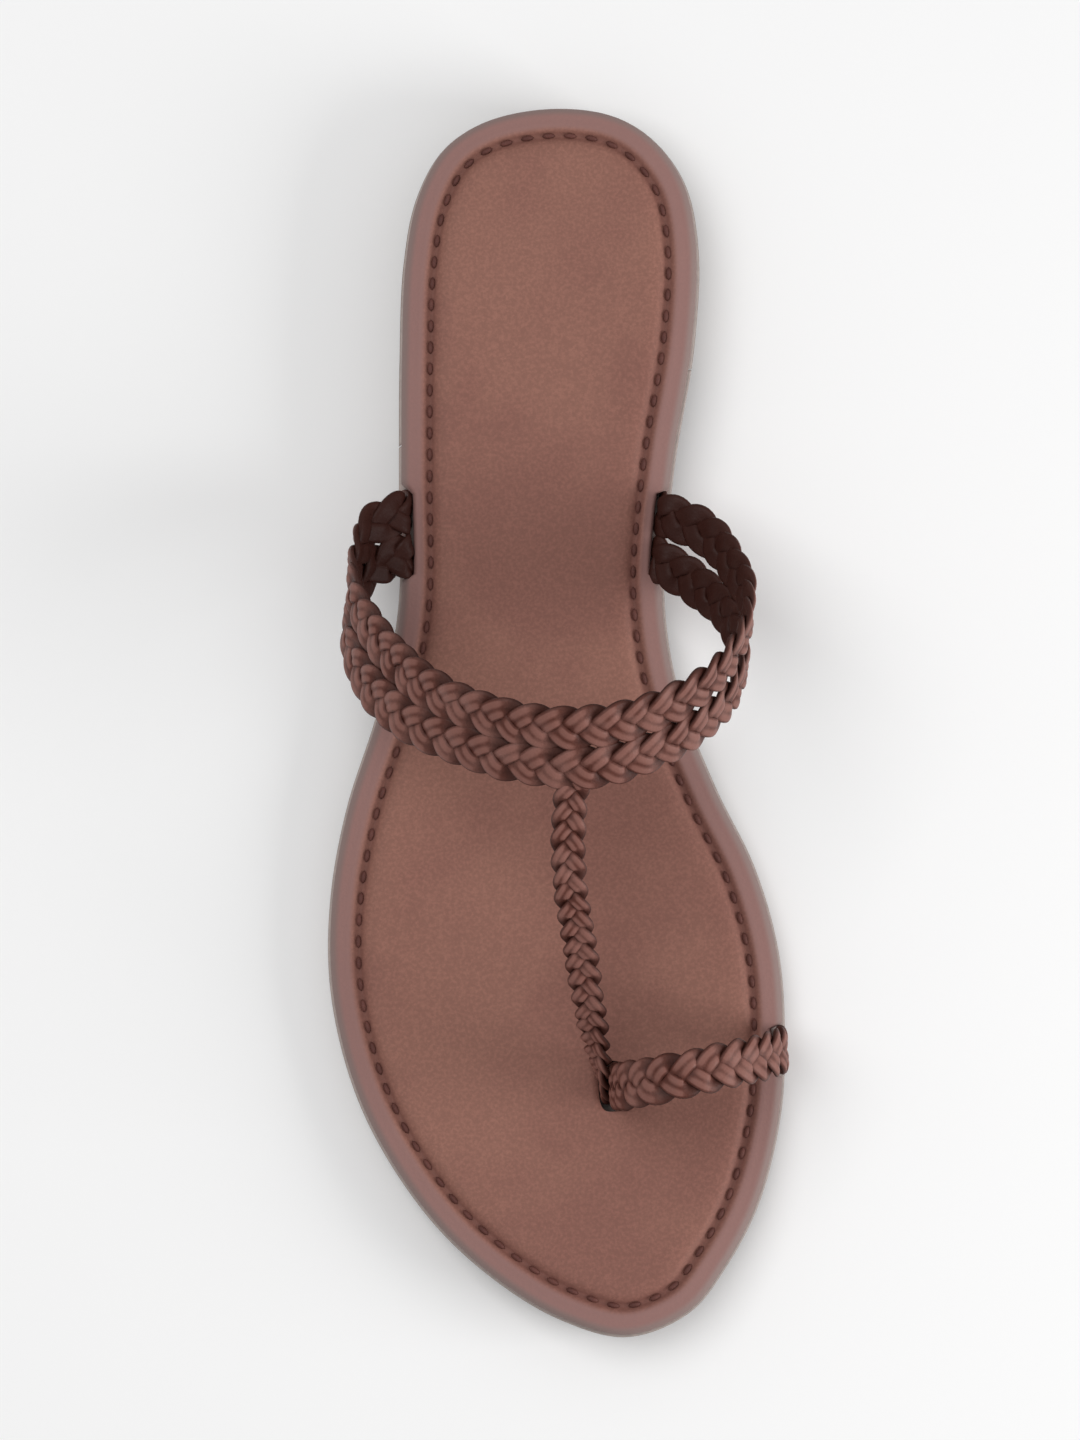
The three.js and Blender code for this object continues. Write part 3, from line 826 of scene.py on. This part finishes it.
def t_strap_knots(shift):
    """Knots of the T-strap, turned more and more until it stands on edge in the slot."""
    foot, brim = post_points(-1, shift)
    brim.z += straps().thickness
    centres = [row_point(row, row.height * straps().band_height, shift) for row in T_STRAP]
    centres += [brim, foot]
    turns = [row.turn for row in T_STRAP] + [90, 90]
    knots = []
    for i, (centre, turn) in enumerate(zip(centres, turns)):
        ahead, behind = centres[min(i + 1, len(centres) - 1)], centres[max(i - 1, 0)]
        tangent = (ahead - behind).normalized()
        level = Vector((-1, 0, 0))
        level = (level - tangent * level.dot(tangent)).normalized()
        outer = level.cross(tangent)
        angle = math.radians(turn)
        knots.append(Knot(centre, level * math.cos(angle) - outer * math.sin(angle)))
    return knots


def loop_knots(ring, shift):
    """Knots of the toe loop, from the slot over the big toe to the inner edge."""
    forward = Vector((0, -1, 0))
    foot, brim = post_points(1, shift)
    seat_foot, seat_brim = edge_seat(ring, 1, straps().loop_seat)
    rows = []
    for row in TOE_LOOP:
        height = brim.z + row.height * straps().loop_height
        rows.append(Knot(row_point(row, height, shift), forward))
    return [Knot(foot, forward), Knot(brim, forward), *rows, seat_brim, seat_foot]


def strap_frames(knots, step):
    """Even steps along a strap, each with its width direction and outer face direction."""
    centres = [knot.centre for knot in knots]
    per_span = 40
    fine = per_span * (len(knots) - 1)
    points = [curve_point(centres, i / fine, False) for i in range(fine + 1)]
    travelled = [0.0]
    for a, b in zip(points, points[1:]):
        travelled.append(travelled[-1] + (b - a).length)
    count = max(8, round(travelled[-1] / step))
    frames, k = [], 0
    for i in range(count + 1):
        goal = travelled[-1] * i / count
        while k < fine - 1 and travelled[k + 1] < goal:
            k += 1
        part = (goal - travelled[k]) / (travelled[k + 1] - travelled[k])
        centre = points[k].lerp(points[k + 1], part)
        tangent = (points[min(k + 2, fine)] - points[max(k - 1, 0)]).normalized()
        place = min((k + part) / per_span, len(knots) - 1 - 1e-6)
        j = int(place)
        blend = smooth(0, 1, place - j)
        width = knots[j].width.lerp(knots[j + 1].width, blend)
        width = (width - tangent * width.dot(tangent)).normalized()
        frames.append(StrapFrame(centre, width, width.cross(tangent).normalized(), goal, i / count))
    return frames


# Strands: faces round each one, its swing and half width as shares of the braid's half width,
# the power that flattens it, its crease's share of its width, and how soon its ends close.
STRAND_SIDES = 16
SWING = 0.56
STRAND_HALF = 0.42
FLATNESS = 0.7
CREASE_WIDTH = 0.42
END_TAPER = 0.7

# Drift: how quickly it changes, what sets the strands apart, and how much of it moves a strand
# along and widens it.
DRIFT_PACE = 60.0
DRIFT_SEED = 7.3
DRIFT_AHEAD = 3.0
DRIFT_WIDTH = 0.6


def braid_tree():
    """Three strands plaited along a guide whose points carry the strap's own directions."""
    tree = bpy.data.node_groups.get("three-strand braid")
    if tree:
        return tree
    tree = new_tree(
        "three-strand braid",
        "GeometryNodeTree",
        (
            ("Geometry", "Geometry"),
            ("Rows", "Int", 100),
            ("Half Width", "Float", 0.0043),
            ("Lobe", "Float", 0.0057),
            ("Strand Thickness", "Float", 0.00145),
            ("Weave Height", "Float", 0.00066),
            ("Lift", "Float", 0.00045),
            ("Start", "Float", 0.0),
            ("Slack", "Float", 0.32),
            ("Crease", "Float", 0.20),
            ("Material", "Material"),
        ),
        (("Geometry", "Geometry"),),
    )
    b = Bench(tree)
    given = b.add("NodeGroupInput").outputs
    join = b.add("GeometryNodeJoinGeometry")
    for strand in range(3):
        tree.links.new(add_strand(b, given, strand), join.inputs[0])
    closed = {"Geometry": join.outputs[0], "Distance": TOUCHING}
    merged = b.made("GeometryNodeMergeByDistance", closed)
    shaded = b.made("GeometryNodeSetShadeSmooth", {"Geometry": merged})
    end_tree(b, shaded, given["Material"])
    return tree


def end_tree(b, shape, material):
    """Ends a tree with real geometry in its material."""
    real = b.made("GeometryNodeRealizeInstances", {"Geometry": shape})
    painted = b.made("GeometryNodeSetMaterial", {"Geometry": real, "Material": material})
    b.add("NodeGroupOutput", {0: painted})


def add_strand(b, given, strand):
    """One strand of the braid as a closed flat tube, swung from edge to edge."""
    size = {"Size X": 1.0, "Size Y": 1.0, "Vertices X": STRAND_SIDES + 1, "Vertices Y": given["Rows"]}
    grid = b.made("GeometryNodeMeshGrid", size)
    position = b.made("GeometryNodeInputPosition")
    corner = b.add("ShaderNodeSeparateXYZ", {0: position}).outputs
    around = b.times(b.plus(corner[0], 0.5), 2 * math.pi)
    share = b.plus(corner[1], 0.5)
    rows_less_one = b.minus(given["Rows"], 1.0)
    row = b.math("ROUND", b.times(share, rows_less_one))

    def sample(kind, source):
        inputs = {"Geometry": given["Geometry"], "Value": source, "Index": row}
        return b.made("GeometryNodeSampleIndex", inputs, data_type=kind, domain="POINT")

    def named(name, kind):
        source = b.made("GeometryNodeInputNamedAttribute", {"Name": name}, data_type=kind)
        return sample(kind, source)

    centre = sample("FLOAT_VECTOR", b.made("GeometryNodeInputPosition"))
    across = named("across", "FLOAT_VECTOR")
    outer = named("outer", "FLOAT_VECTOR")
    travelled = named("travelled", "FLOAT")
    tangent = b.vector("CROSS_PRODUCT", outer, across)

    third = 2 * math.pi / 3
    rate = b.math("DIVIDE", third, given["Lobe"])
    seed = {0: b.times(travelled, DRIFT_PACE), 1: strand * DRIFT_SEED, 2: given["Start"]}
    drift = b.noise(b.made("ShaderNodeCombineXYZ", seed), 1.0, 1.0)
    drift = b.times(b.minus(drift, 0.5), given["Slack"])
    turn = b.plus(b.times(travelled, rate), b.plus(given["Start"], strand * third))
    turn = b.plus(turn, b.times(drift, DRIFT_AHEAD))
    swing = b.times(given["Half Width"], SWING)
    aside = b.times(swing, b.math("SINE", turn))
    crossing = b.math("SINE", b.times(turn, 2.0))
    rise = b.times(given["Weave Height"], crossing)
    slope = b.times(b.times(swing, rate), b.math("COSINE", turn))
    side = b.vector("NORMALIZE", b.vector("SUBTRACT", across, b.scaled(tangent, slope)))

    end = b.times(b.math("MINIMUM", share, b.minus(1.0, share)), rows_less_one)
    end = b.math("SQRT", b.math("MINIMUM", b.times(end, END_TAPER), 1.0))
    half = b.times(given["Half Width"], b.plus(STRAND_HALF, b.times(drift, DRIFT_WIDTH)))
    thick = b.times(given["Strand Thickness"], 0.5)
    cosine, sine = b.math("COSINE", around), b.math("SINE", around)
    flat = b.times(b.math("SIGN", sine), b.math("POWER", b.math("ABSOLUTE", sine), FLATNESS))
    ply = b.remap(b.math("ABSOLUTE", cosine), 0.0, CREASE_WIDTH, 0.0, 1.0)
    flat = b.times(flat, b.minus(1.0, b.times(given["Crease"], b.minus(1.0, ply))))
    reach = b.times(b.times(half, cosine), end)
    face = b.times(b.times(thick, flat), end)
    height = b.plus(b.plus(rise, given["Lift"]), face)
    place = b.vector("ADD", centre, b.scaled(across, aside))
    place = b.vector("ADD", place, b.scaled(outer, height))
    place = b.vector("ADD", place, b.scaled(side, reach))

    # Light factor for the strand's painted light: lower on its inner face and edges, where it dips
    # under a crossing strand and in its crease; kept as the attribute outside.
    lit = b.times(b.remap(sine, 0.0, 0.72, 0.10, 1.0), b.remap(crossing, -0.9, 0.8, 0.22, 1.0))
    lit = b.times(lit, b.remap(ply, 0.0, 0.7, 0.70, 1.0))
    capture = b.add("GeometryNodeCaptureAttribute", domain="POINT")
    outside = capture.capture_items.new("FLOAT", "outside").name
    b.feed(capture.inputs["Geometry"], grid)
    b.feed(capture.inputs[outside], lit)
    moved = {"Geometry": capture.outputs["Geometry"], "Position": place}
    stored = {
        "Geometry": b.made("GeometryNodeSetPosition", moved),
        "Name": "outside",
        "Value": capture.outputs[outside],
    }
    return b.made("GeometryNodeStoreNamedAttribute", stored, data_type="FLOAT", domain="POINT")


def set_inputs(modifier, values):
    """Sets a modifier's inputs by their sockets' identifiers."""
    items = modifier.node_group.interface.items_tree
    sockets = {item.name: item.identifier for item in items if item.in_out == "INPUT"}
    for name, value in values.items():
        modifier[sockets[name]] = value


def braid(name, frames, middle, half_width, lobe, start, material):
    """A braid along the frames; middle is its offset across, as a function of a frame's share."""
    mesh = bpy.data.meshes.new(name)
    points = [f.centre + f.width * middle(f.share) for f in frames]
    mesh.from_pydata([tuple(p) for p in points], [], [])
    directions = {"across": [f.width for f in frames], "outer": [f.outer for f in frames]}
    for key, values in directions.items():
        attribute = mesh.attributes.new(key, "FLOAT_VECTOR", "POINT")
        attribute.data.foreach_set("vector", [c for v in values for c in v])
    attribute = mesh.attributes.new("travelled", "FLOAT", "POINT")
    attribute.data.foreach_set("value", [f.travelled for f in frames])
    piece = new_piece(name, mesh)
    modifier = piece.modifiers.new("braid", "NODES")
    modifier.node_group = braid_tree()
    values = {
        "Rows": len(frames),
        "Half Width": half_width,
        "Lobe": lobe,
        "Strand Thickness": straps().strand,
        "Weave Height": straps().weave,
        "Lift": straps().relief / 2,
        "Start": start,
        "Material": material,
    }
    set_inputs(modifier, values)
    settle(piece)
    point_faces_out(piece.data)
    return piece


class SANDAL_OT_upper(bpy.types.Operator):
    """Plait the instep band, the T-strap and the toe loop."""

    bl_idname = "sandal.upper"
    bl_label = "Braided straps"

    def execute(self, context):
        ring, shift = outline_ring(), outline_shift()
        size, tones = straps(), finish()
        strap = leather(
            "braided_leather", tones.strap, tones.strap_patches_and_highlight,
            roughness=0.5, grain=2200, bump=0.3, patch=160, specular=0.17, tint=strand_tint,
        )
        step, interlock = 0.45 * MM, 1.10
        quarter = size.band_width / 4

        def middle(side):
            return lambda share: side * (quarter + read_rows(BAND_GAPS, "gap", share) * MM / 2)

        def centred(share):
            return 0.0

        band = strap_frames(band_knots(ring, shift), step)
        single = strap_frames(t_strap_knots(shift), step)
        loop = strap_frames(loop_knots(ring, shift), step)
        half = quarter * interlock
        braids = (
            ("band_rear_braid", band, middle(-1), half, size.band_lobe, 0.0),
            ("band_front_braid", band, middle(1), half, size.band_lobe, math.pi),
            ("t_strap_braid", single, centred, size.t_width / 2, size.t_lobe, 0.0),
            ("toe_loop_braid", loop, centred, size.loop_width / 2, size.loop_lobe, 1.0),
        )
        for values in braids:
            stand_in(braid(*values, strap), "upper")
        return {"FINISHED"}


# Footbed


def seat_depth(ring):
    """How deep the footbed's edge is let in for the straps, as a function of a point."""
    size = straps()
    seats = (
        (-1, size.band_lateral, size.band_width),
        (1, size.band_medial, size.band_width),
        (1, size.loop_seat, size.loop_width),
    )
    middle_x = (FOOTBED_LOW.x + FOOTBED_HIGH.x) / 2
    places = [(side, edge_at(ring, side, along)[0], width) for side, along, width in seats]
    clear, ramp = 0.3 * MM, 0.5 * MM
    deep = size.thickness + size.relief - size.proud + clear

    def depth(point):
        most = 0
        for side, centre, width in places:
            if (point.x - middle_x) * side < 0:
                continue
            off = (point - centre).length - width / 2
            most = max(most, 1 - smooth(-ramp, clear, off))
        return most * deep

    return depth


def slot_cutter(shift):
    """Rounded block that opens the footbed for the two straps of the toe post."""
    size = straps()
    clear = 0.15 * MM
    middle = shift - size.relief / 2
    y = SOLE_LENGTH / 2 - size.post
    half_x = (size.post_spacing + size.thickness + size.relief) / 2 + clear
    half_y = size.loop_width / 2 + clear
    spare, steps, squareness = sole().footbed, 48, 0.6

    def squared(value):
        return math.copysign(abs(value) ** squareness, value)

    angles = [2 * math.pi * i / steps for i in range(steps)]
    plan = [(middle + half_x * squared(math.cos(a)), y + half_y * squared(math.sin(a))) for a in angles]

    def ring(z):
        return [Vector((px, py, z)) for px, py in plan]

    return block("slot", ring(footbed_bottom(y) - spare), ring(footbed_top(y) + spare))


def footbed_levels(ring):
    """Inset and height of each ring of the footbed, from its underside to its padded middle."""
    size = sole()
    depth = seat_depth(ring)
    limit = size.channel - 1.1 * MM

    def level(inset, height):
        def inward(point):
            let_in = depth(point)
            return inset if inset >= limit else let_in + inset * (1 - let_in / limit)

        return inward, height

    def at(drop):
        return lambda p: footbed_top(p.y) - drop

    def above(rise):
        return lambda p: footbed_bottom(p.y) + rise

    levels = [level(row.inset * MM, above(row.rise * MM)) for row in FOOTBED_SIDE]
    rib_heights, rib_depth, rib_half = (1.9 * MM, 2.7 * MM), 0.14 * MM, 0.18 * MM
    for rib in rib_heights:
        levels += [
            level(0.0, above(rib)),
            level(rib_depth, above(rib + rib_half)),
            level(0.0, above(rib + 2 * rib_half)),
        ]
    radius, steps = size.edge_radius, 6
    for k in range(steps + 1):
        angle = math.pi / 2 * k / steps
        levels.append(level(radius * (1 - math.cos(angle)), at(radius * (1 - math.sin(angle)))))
    levels += [level(size.channel + row.off * MM, at(row.drop * MM)) for row in CHANNEL]
    levels += [
        level(size.channel + 2.4 * MM, at(-size.pad_rise)),
        level(size.channel + 4.5 * MM, at(-size.pad_rise - 0.1 * MM)),
    ]
    return levels


class SANDAL_OT_footbed(bpy.types.Operator):
    """Make the padded footbed with its rolled edge, channel, strap seats and toe slot."""

    bl_idname = "sandal.footbed"
    bl_label = "Footbed"

    def execute(self, context):
        ring, tones = outline_ring(), finish()
        skin = leather(
            "footbed_leather", tones.footbed, tones.footbed_dark,
            roughness=0.62, grain=1500, bump=0.2, patch=30, specular=0.18, tint=footbed_tint,
        )
        mesh = layer_mesh("footbed_leather", ring, footbed_levels(ring), across=16)
        piece = new_piece("footbed_leather", mesh, skin)
        cut(piece, slot_cutter(outline_shift()), "DIFFERENCE")
        store_inset(piece.data, ring)
        stand_in(piece, "footbed")
        return {"FINISHED"}


def stitch_tree():
    """Stitches at an even pitch along a line."""
    tree = new_tree(
        "stitch row",
        "GeometryNodeTree",
        (
            ("Geometry", "Geometry"),
            ("Pitch", "Float", 0.0044),
            ("Length", "Float", 0.0027),
            ("Thread", "Float", 0.0012),
            ("Material", "Material"),
        ),
        (("Geometry", "Geometry"),),
    )
    b = Bench(tree)
    given = b.add("NodeGroupInput").outputs
    line = b.made("GeometryNodeMeshToCurve", {"Mesh": given["Geometry"]})
    spaced = {"Curve": line, "Length": given["Pitch"]}
    points = b.add("GeometryNodeCurveToPoints", spaced, mode="LENGTH").outputs
    ball = b.made("GeometryNodeMeshUVSphere", {"Segments": 8, "Rings": 6, "Radius": 0.5})
    thread = given["Thread"]
    size = b.made("ShaderNodeCombineXYZ", {0: given["Length"], 1: thread, 2: thread})
    stitch = b.made("GeometryNodeTransform", {"Geometry": ball, "Scale": size})
    turn = b.made("FunctionNodeAlignRotationToVector", {"Vector": points["Tangent"]}, axis="X")
    sewn = {"Points": points[0], "Instance": stitch, "Rotation": turn}
    placed = b.made("GeometryNodeInstanceOnPoints", sewn)
    real = b.made("GeometryNodeRealizeInstances", {"Geometry": placed})
    end_tree(b, b.made("GeometryNodeSetShadeSmooth", {"Geometry": real}), given["Material"])
    return tree


class SANDAL_OT_stitches(bpy.types.Operator):
    """Sew the row of stitches in the footbed's channel."""

    bl_idname = "sandal.stitches"
    bl_label = "Channel stitches"

    def execute(self, context):
        ring, size, tones = outline_ring(), sole(), finish()
        # The thread's darker patches reuse the channel's painted shade colour.
        thread = leather(
            "thread", tones.thread, tones.channel_shade, roughness=0.6, grain=3000, bump=0.3, patch=200
        )
        sunk = 0.35 * MM
        points = []
        for point, outward in ring:
            moved = point - outward * size.channel
            moved.z = footbed_top(moved.y) - sunk
            points.append(moved)
        mesh = bpy.data.meshes.new("channel_stitches")
        edges = [(i, (i + 1) % len(points)) for i in range(len(points))]
        mesh.from_pydata([tuple(p) for p in points], edges, [])
        piece = new_piece("channel_stitches", mesh)
        modifier = piece.modifiers.new("stitches", "NODES")
        modifier.node_group = stitch_tree()
        values = {
            "Pitch": size.stitch_pitch,
            "Length": size.stitch_length,
            "Thread": size.thread,
            "Material": thread,
        }
        set_inputs(modifier, values)
        settle(piece)
        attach(piece, "root")
        return {"FINISHED"}


# Outsole and heel


def breast_cutter(set_back):
    """Block behind the heel's breast: coved in plan, leaning back towards the floor."""
    size, shift = sole(), outline_shift()
    reach = size.ball_width * 0.45
    middle = SOLE_LENGTH / 2 - size.breast + set_back
    behind = middle + SOLE_LENGTH
    skew, cove, lean, below = 6.3 * MM, 9 * MM, 1.8 * MM, 2.6 * MM
    deepest = -reach * 0.17
    heel_height = size.heel_rise + size.runner
    left, right = Vector((-reach, middle - skew)), Vector((reach, middle + skew))
    control = Vector((deepest, middle + 2 * cove))
    steps = 24
    plan = []
    for i in range(steps + 1):
        t = i / steps
        plan.append(left * (1 - t) ** 2 + control * 2 * t * (1 - t) + right * t**2)
    plan += [Vector((reach, behind)), Vector((-reach, behind))]

    def ring(z):
        back = lean - z * (lean / heel_height)
        return [Vector((p.x + shift, p.y + back, z)) for p in plan]

    return block("breast", ring(-below), ring(4 * heel_height - below))


def flat_level(inset, height):
    return (lambda point: inset), height


def rubber(name, tone, roughness, tread, top=None):
    """Moulded rubber with fine specks, ribbed below if it has a tread; its upward faces take the colour
    top as a painted highlight.
    """
    material, b, shader = new_material(name)
    place = b.add("ShaderNodeTexCoord").outputs["Object"]
    fine = b.noise(place, 900.0, 4.0)
    broad = b.noise(place, 60.0, 3.0)
    specks = b.grey(b.plus(b.remap(fine, 0.3, 0.7, 0.90, 1.06), b.times(b.minus(broad, 0.5), 0.3)))
    # Painted highlight: upward faces lightened towards top.
    if top is not None:
        tone = b.blend(b.remap(b.upward("Normal"), 0.3, 0.8, 0.0, 1.0), tone, top)
    b.feed(shader.inputs["Base Color"], b.blend(1.0, tone, specks, "MULTIPLY"))
    b.feed(shader.inputs["Roughness"], b.remap(fine, 0.3, 0.7, roughness - 0.08, roughness + 0.08))
    height = b.times(fine, 0.4)
    if tread:
        down = b.math("LESS_THAN", b.upward("True Normal"), -0.8)
        lines = b.add(
            "ShaderNodeTexWave", {"Vector": place, "Scale": 110.0, "Distortion": 0.0},
            wave_type="BANDS", bands_direction="Y",
        ).outputs["Fac"]
        height = b.plus(height, b.times(b.times(lines, down), 2.0))
    b.feed(shader.inputs["Normal"], b.bump(height, 0.35, 0.3 * MM))
    return material


class SANDAL_OT_outsole(bpy.types.Operator):
    """Make the runner and cut it at the heel's breast."""

    bl_idname = "sandal.outsole"
    bl_label = "Runner"

    def execute(self, context):
        size, tones = sole(), finish()
        out, bevel = size.ledge, size.ledge / 2
        levels = [
            flat_level(bevel * 1.6, lambda p: tread_height(p.y)),
            flat_level(-bevel * 0.4, lambda p: tread_height(p.y) + bevel * 0.6),
            flat_level(-out, lambda p: tread_height(p.y) + bevel * 2),
            flat_level(-out, lambda p: runner_top(p.y) - bevel),
            flat_level(-out * 0.8, lambda p: runner_top(p.y) - bevel * 0.3),
            flat_level(-out * 0.5, lambda p: runner_top(p.y)),
        ]
        mesh = layer_mesh("outsole_runner", outline_ring(), levels, across=8)
        # The ledge's upward faces get a painted highlight.
        material = rubber("runner_rubber", tones.runner, 0.6, tread=True, top=tones.runner_top)
        piece = new_piece("outsole_runner", mesh, material)
        cut(piece, breast_cutter(-size.seat_gap), "DIFFERENCE")
        stand_in(piece, "outsole")
        return {"FINISHED"}


class SANDAL_OT_heel(bpy.types.Operator):
    """Make the heel block and its top piece."""

    bl_idname = "sandal.heel"
    bl_label = "Heel"

    def execute(self, context):
        size, tones, ring = sole(), finish(), outline_ring()
        out, taper = size.ledge, size.taper
        bottom = size.lift + size.seat_gap
        heel_edge, lift_edge = 0.3 * MM, 0.2 * MM
        shoulder, shoulder_taper = 0.8, taper * 0.25
        heel_levels = [
            flat_level(taper - out + heel_edge, lambda p: bottom),
            flat_level(taper - out, lambda p: bottom + heel_edge),
            flat_level(
                shoulder_taper - out,
                lambda p: size.lift + (runner_top(p.y) - size.lift) * shoulder,
            ),
            flat_level(-out, lambda p: runner_top(p.y) - out / 2),
            flat_level(-out / 2, lambda p: runner_top(p.y)),
        ]
        lift_levels = [
            flat_level(taper, lambda p: 0.0),
            flat_level(taper - out * 0.8, lambda p: out * 0.5),
            flat_level(taper - out, lambda p: out),
            flat_level(taper - out, lambda p: size.lift - lift_edge),
            flat_level(taper - out + lift_edge, lambda p: size.lift),
        ]
        # The heel block's upward faces get the same painted highlight as the ledge.
        heel_skin = rubber("heel_finish", tones.heel, 0.5, tread=False, top=tones.runner_top)
        lift_skin = rubber("top_piece_rubber", tones.lift, 0.7, tread=True)
        for name, levels, skin, node in (
            ("heel_block", heel_levels, heel_skin, "heel"),
            ("heel_top_piece", lift_levels, lift_skin, "heel_lift"),
        ):
            piece = new_piece(name, layer_mesh(name, ring, levels, across=6), skin)
            cut(piece, breast_cutter(0), "INTERSECT")
            stand_in(piece, node)
        return {"FINISHED"}


# Stage


def add_light(name, place, target, size, strength):
    light = bpy.data.lights.new(name, "AREA")
    light.size = size
    light.energy = strength
    lamp = bpy.data.objects.new(name, light)
    bpy.context.scene.collection.objects.link(lamp)
    lamp.location = place
    lamp.rotation_euler = (Vector(target) - Vector(place)).to_track_quat("-Z", "Y").to_euler()


class SANDAL_OT_stage(bpy.types.Operator):
    """Set up the floor, the light and the camera."""

    bl_idname = "sandal.stage"
    bl_label = "Floor, light and camera"

    def execute(self, context):
        scene = context.scene
        stage = scene.sandal_stage
        half, aim_height = 3.0, 15 * MM
        corners = [(-half, -half, 0), (half, -half, 0), (half, half, 0), (-half, half, 0)]
        material, _, shader = new_material("studio_floor")
        shader.inputs["Base Color"].default_value = finish().floor
        shader.inputs["Roughness"].default_value = 0.9
        floor = new_piece("studio_floor", mesh_from("studio_floor", corners, [(0, 1, 2, 3)]), material)

        world = bpy.data.worlds.new("studio")
        world.use_nodes = True
        background = next(n for n in world.node_tree.nodes if n.type == "BACKGROUND")
        background.inputs["Color"].default_value = (1, 1, 1, 1)
        background.inputs["Strength"].default_value = stage.sky
        scene.world = world
        scene.view_settings.view_transform = "Standard"
        add_light("top_softbox", (-0.35, 0.25, 1.1), (0, 0, 0), 0.8, stage.top_power)
        add_light("side_softbox", (0.9, -0.3, 0.35), (0, 0, 0.01), 0.5, stage.side_power)

        low, high = SOLID_BOX
        centre = (low + high) / 2
        centre.z = aim_height
        elevation = stage.elevation
        back = Vector((0, -math.cos(elevation), math.sin(elevation)))
        data = bpy.data.cameras.new("camera")
        data.lens = stage.focal
        data.sensor_width = 36
        distance = stage.picture_height * data.lens / data.sensor_width
        data.clip_start, data.clip_end = 0.05, 20
        camera = bpy.data.objects.new("camera", data)
        scene.collection.objects.link(camera)
        camera.rotation_mode = "QUATERNION"
        turn = (-back).to_track_quat("-Z", "Y").to_matrix() @ Matrix.Rotation(-stage.roll, 3, "Z")
        camera.rotation_quaternion = turn.to_quaternion()
        camera.location = centre + back * distance
        scene.camera = camera
        return {"FINISHED"}


class SANDAL_PT_panel(bpy.types.Panel):
    bl_idname = "SANDAL_PT_panel"
    bl_label = "Sandal"
    bl_space_type = "VIEW_3D"
    bl_region_type = "UI"
    bl_category = "Sandal"

    def draw(self, context):
        for group in GROUPS:
            values = getattr(context.scene, group)
            box = self.layout.box()
            for name in values.__annotations__:
                box.prop(values, name)
        for operator in OPERATORS:
            self.layout.operator(operator.bl_idname)


GROUPS = {
    "sandal_sole": SandalSole,
    "sandal_straps": SandalStraps,
    "sandal_finish": SandalFinish,
    "sandal_stage": SandalStage,
}
OPERATORS = (
    SANDAL_OT_outsole,
    SANDAL_OT_heel,
    SANDAL_OT_footbed,
    SANDAL_OT_stitches,
    SANDAL_OT_upper,
    SANDAL_OT_stage,
)


def register():
    for group in GROUPS.values():
        bpy.utils.register_class(group)
    for operator in OPERATORS:
        bpy.utils.register_class(operator)
    bpy.utils.register_class(SANDAL_PT_panel)
    for name, group in GROUPS.items():
        setattr(bpy.types.Scene, name, PointerProperty(type=group))


def unregister():
    for name in GROUPS:
        delattr(bpy.types.Scene, name)
    bpy.utils.unregister_class(SANDAL_PT_panel)
    for operator in reversed(OPERATORS):
        bpy.utils.unregister_class(operator)
    for group in reversed(list(GROUPS.values())):
        bpy.utils.unregister_class(group)


def main():
    register()
    bpy.ops.sandal.outsole()
    bpy.ops.sandal.heel()
    bpy.ops.sandal.footbed()
    bpy.ops.sandal.stitches()
    bpy.ops.sandal.upper()
    bpy.ops.sandal.stage()


if __name__ == "__main__":
    main()
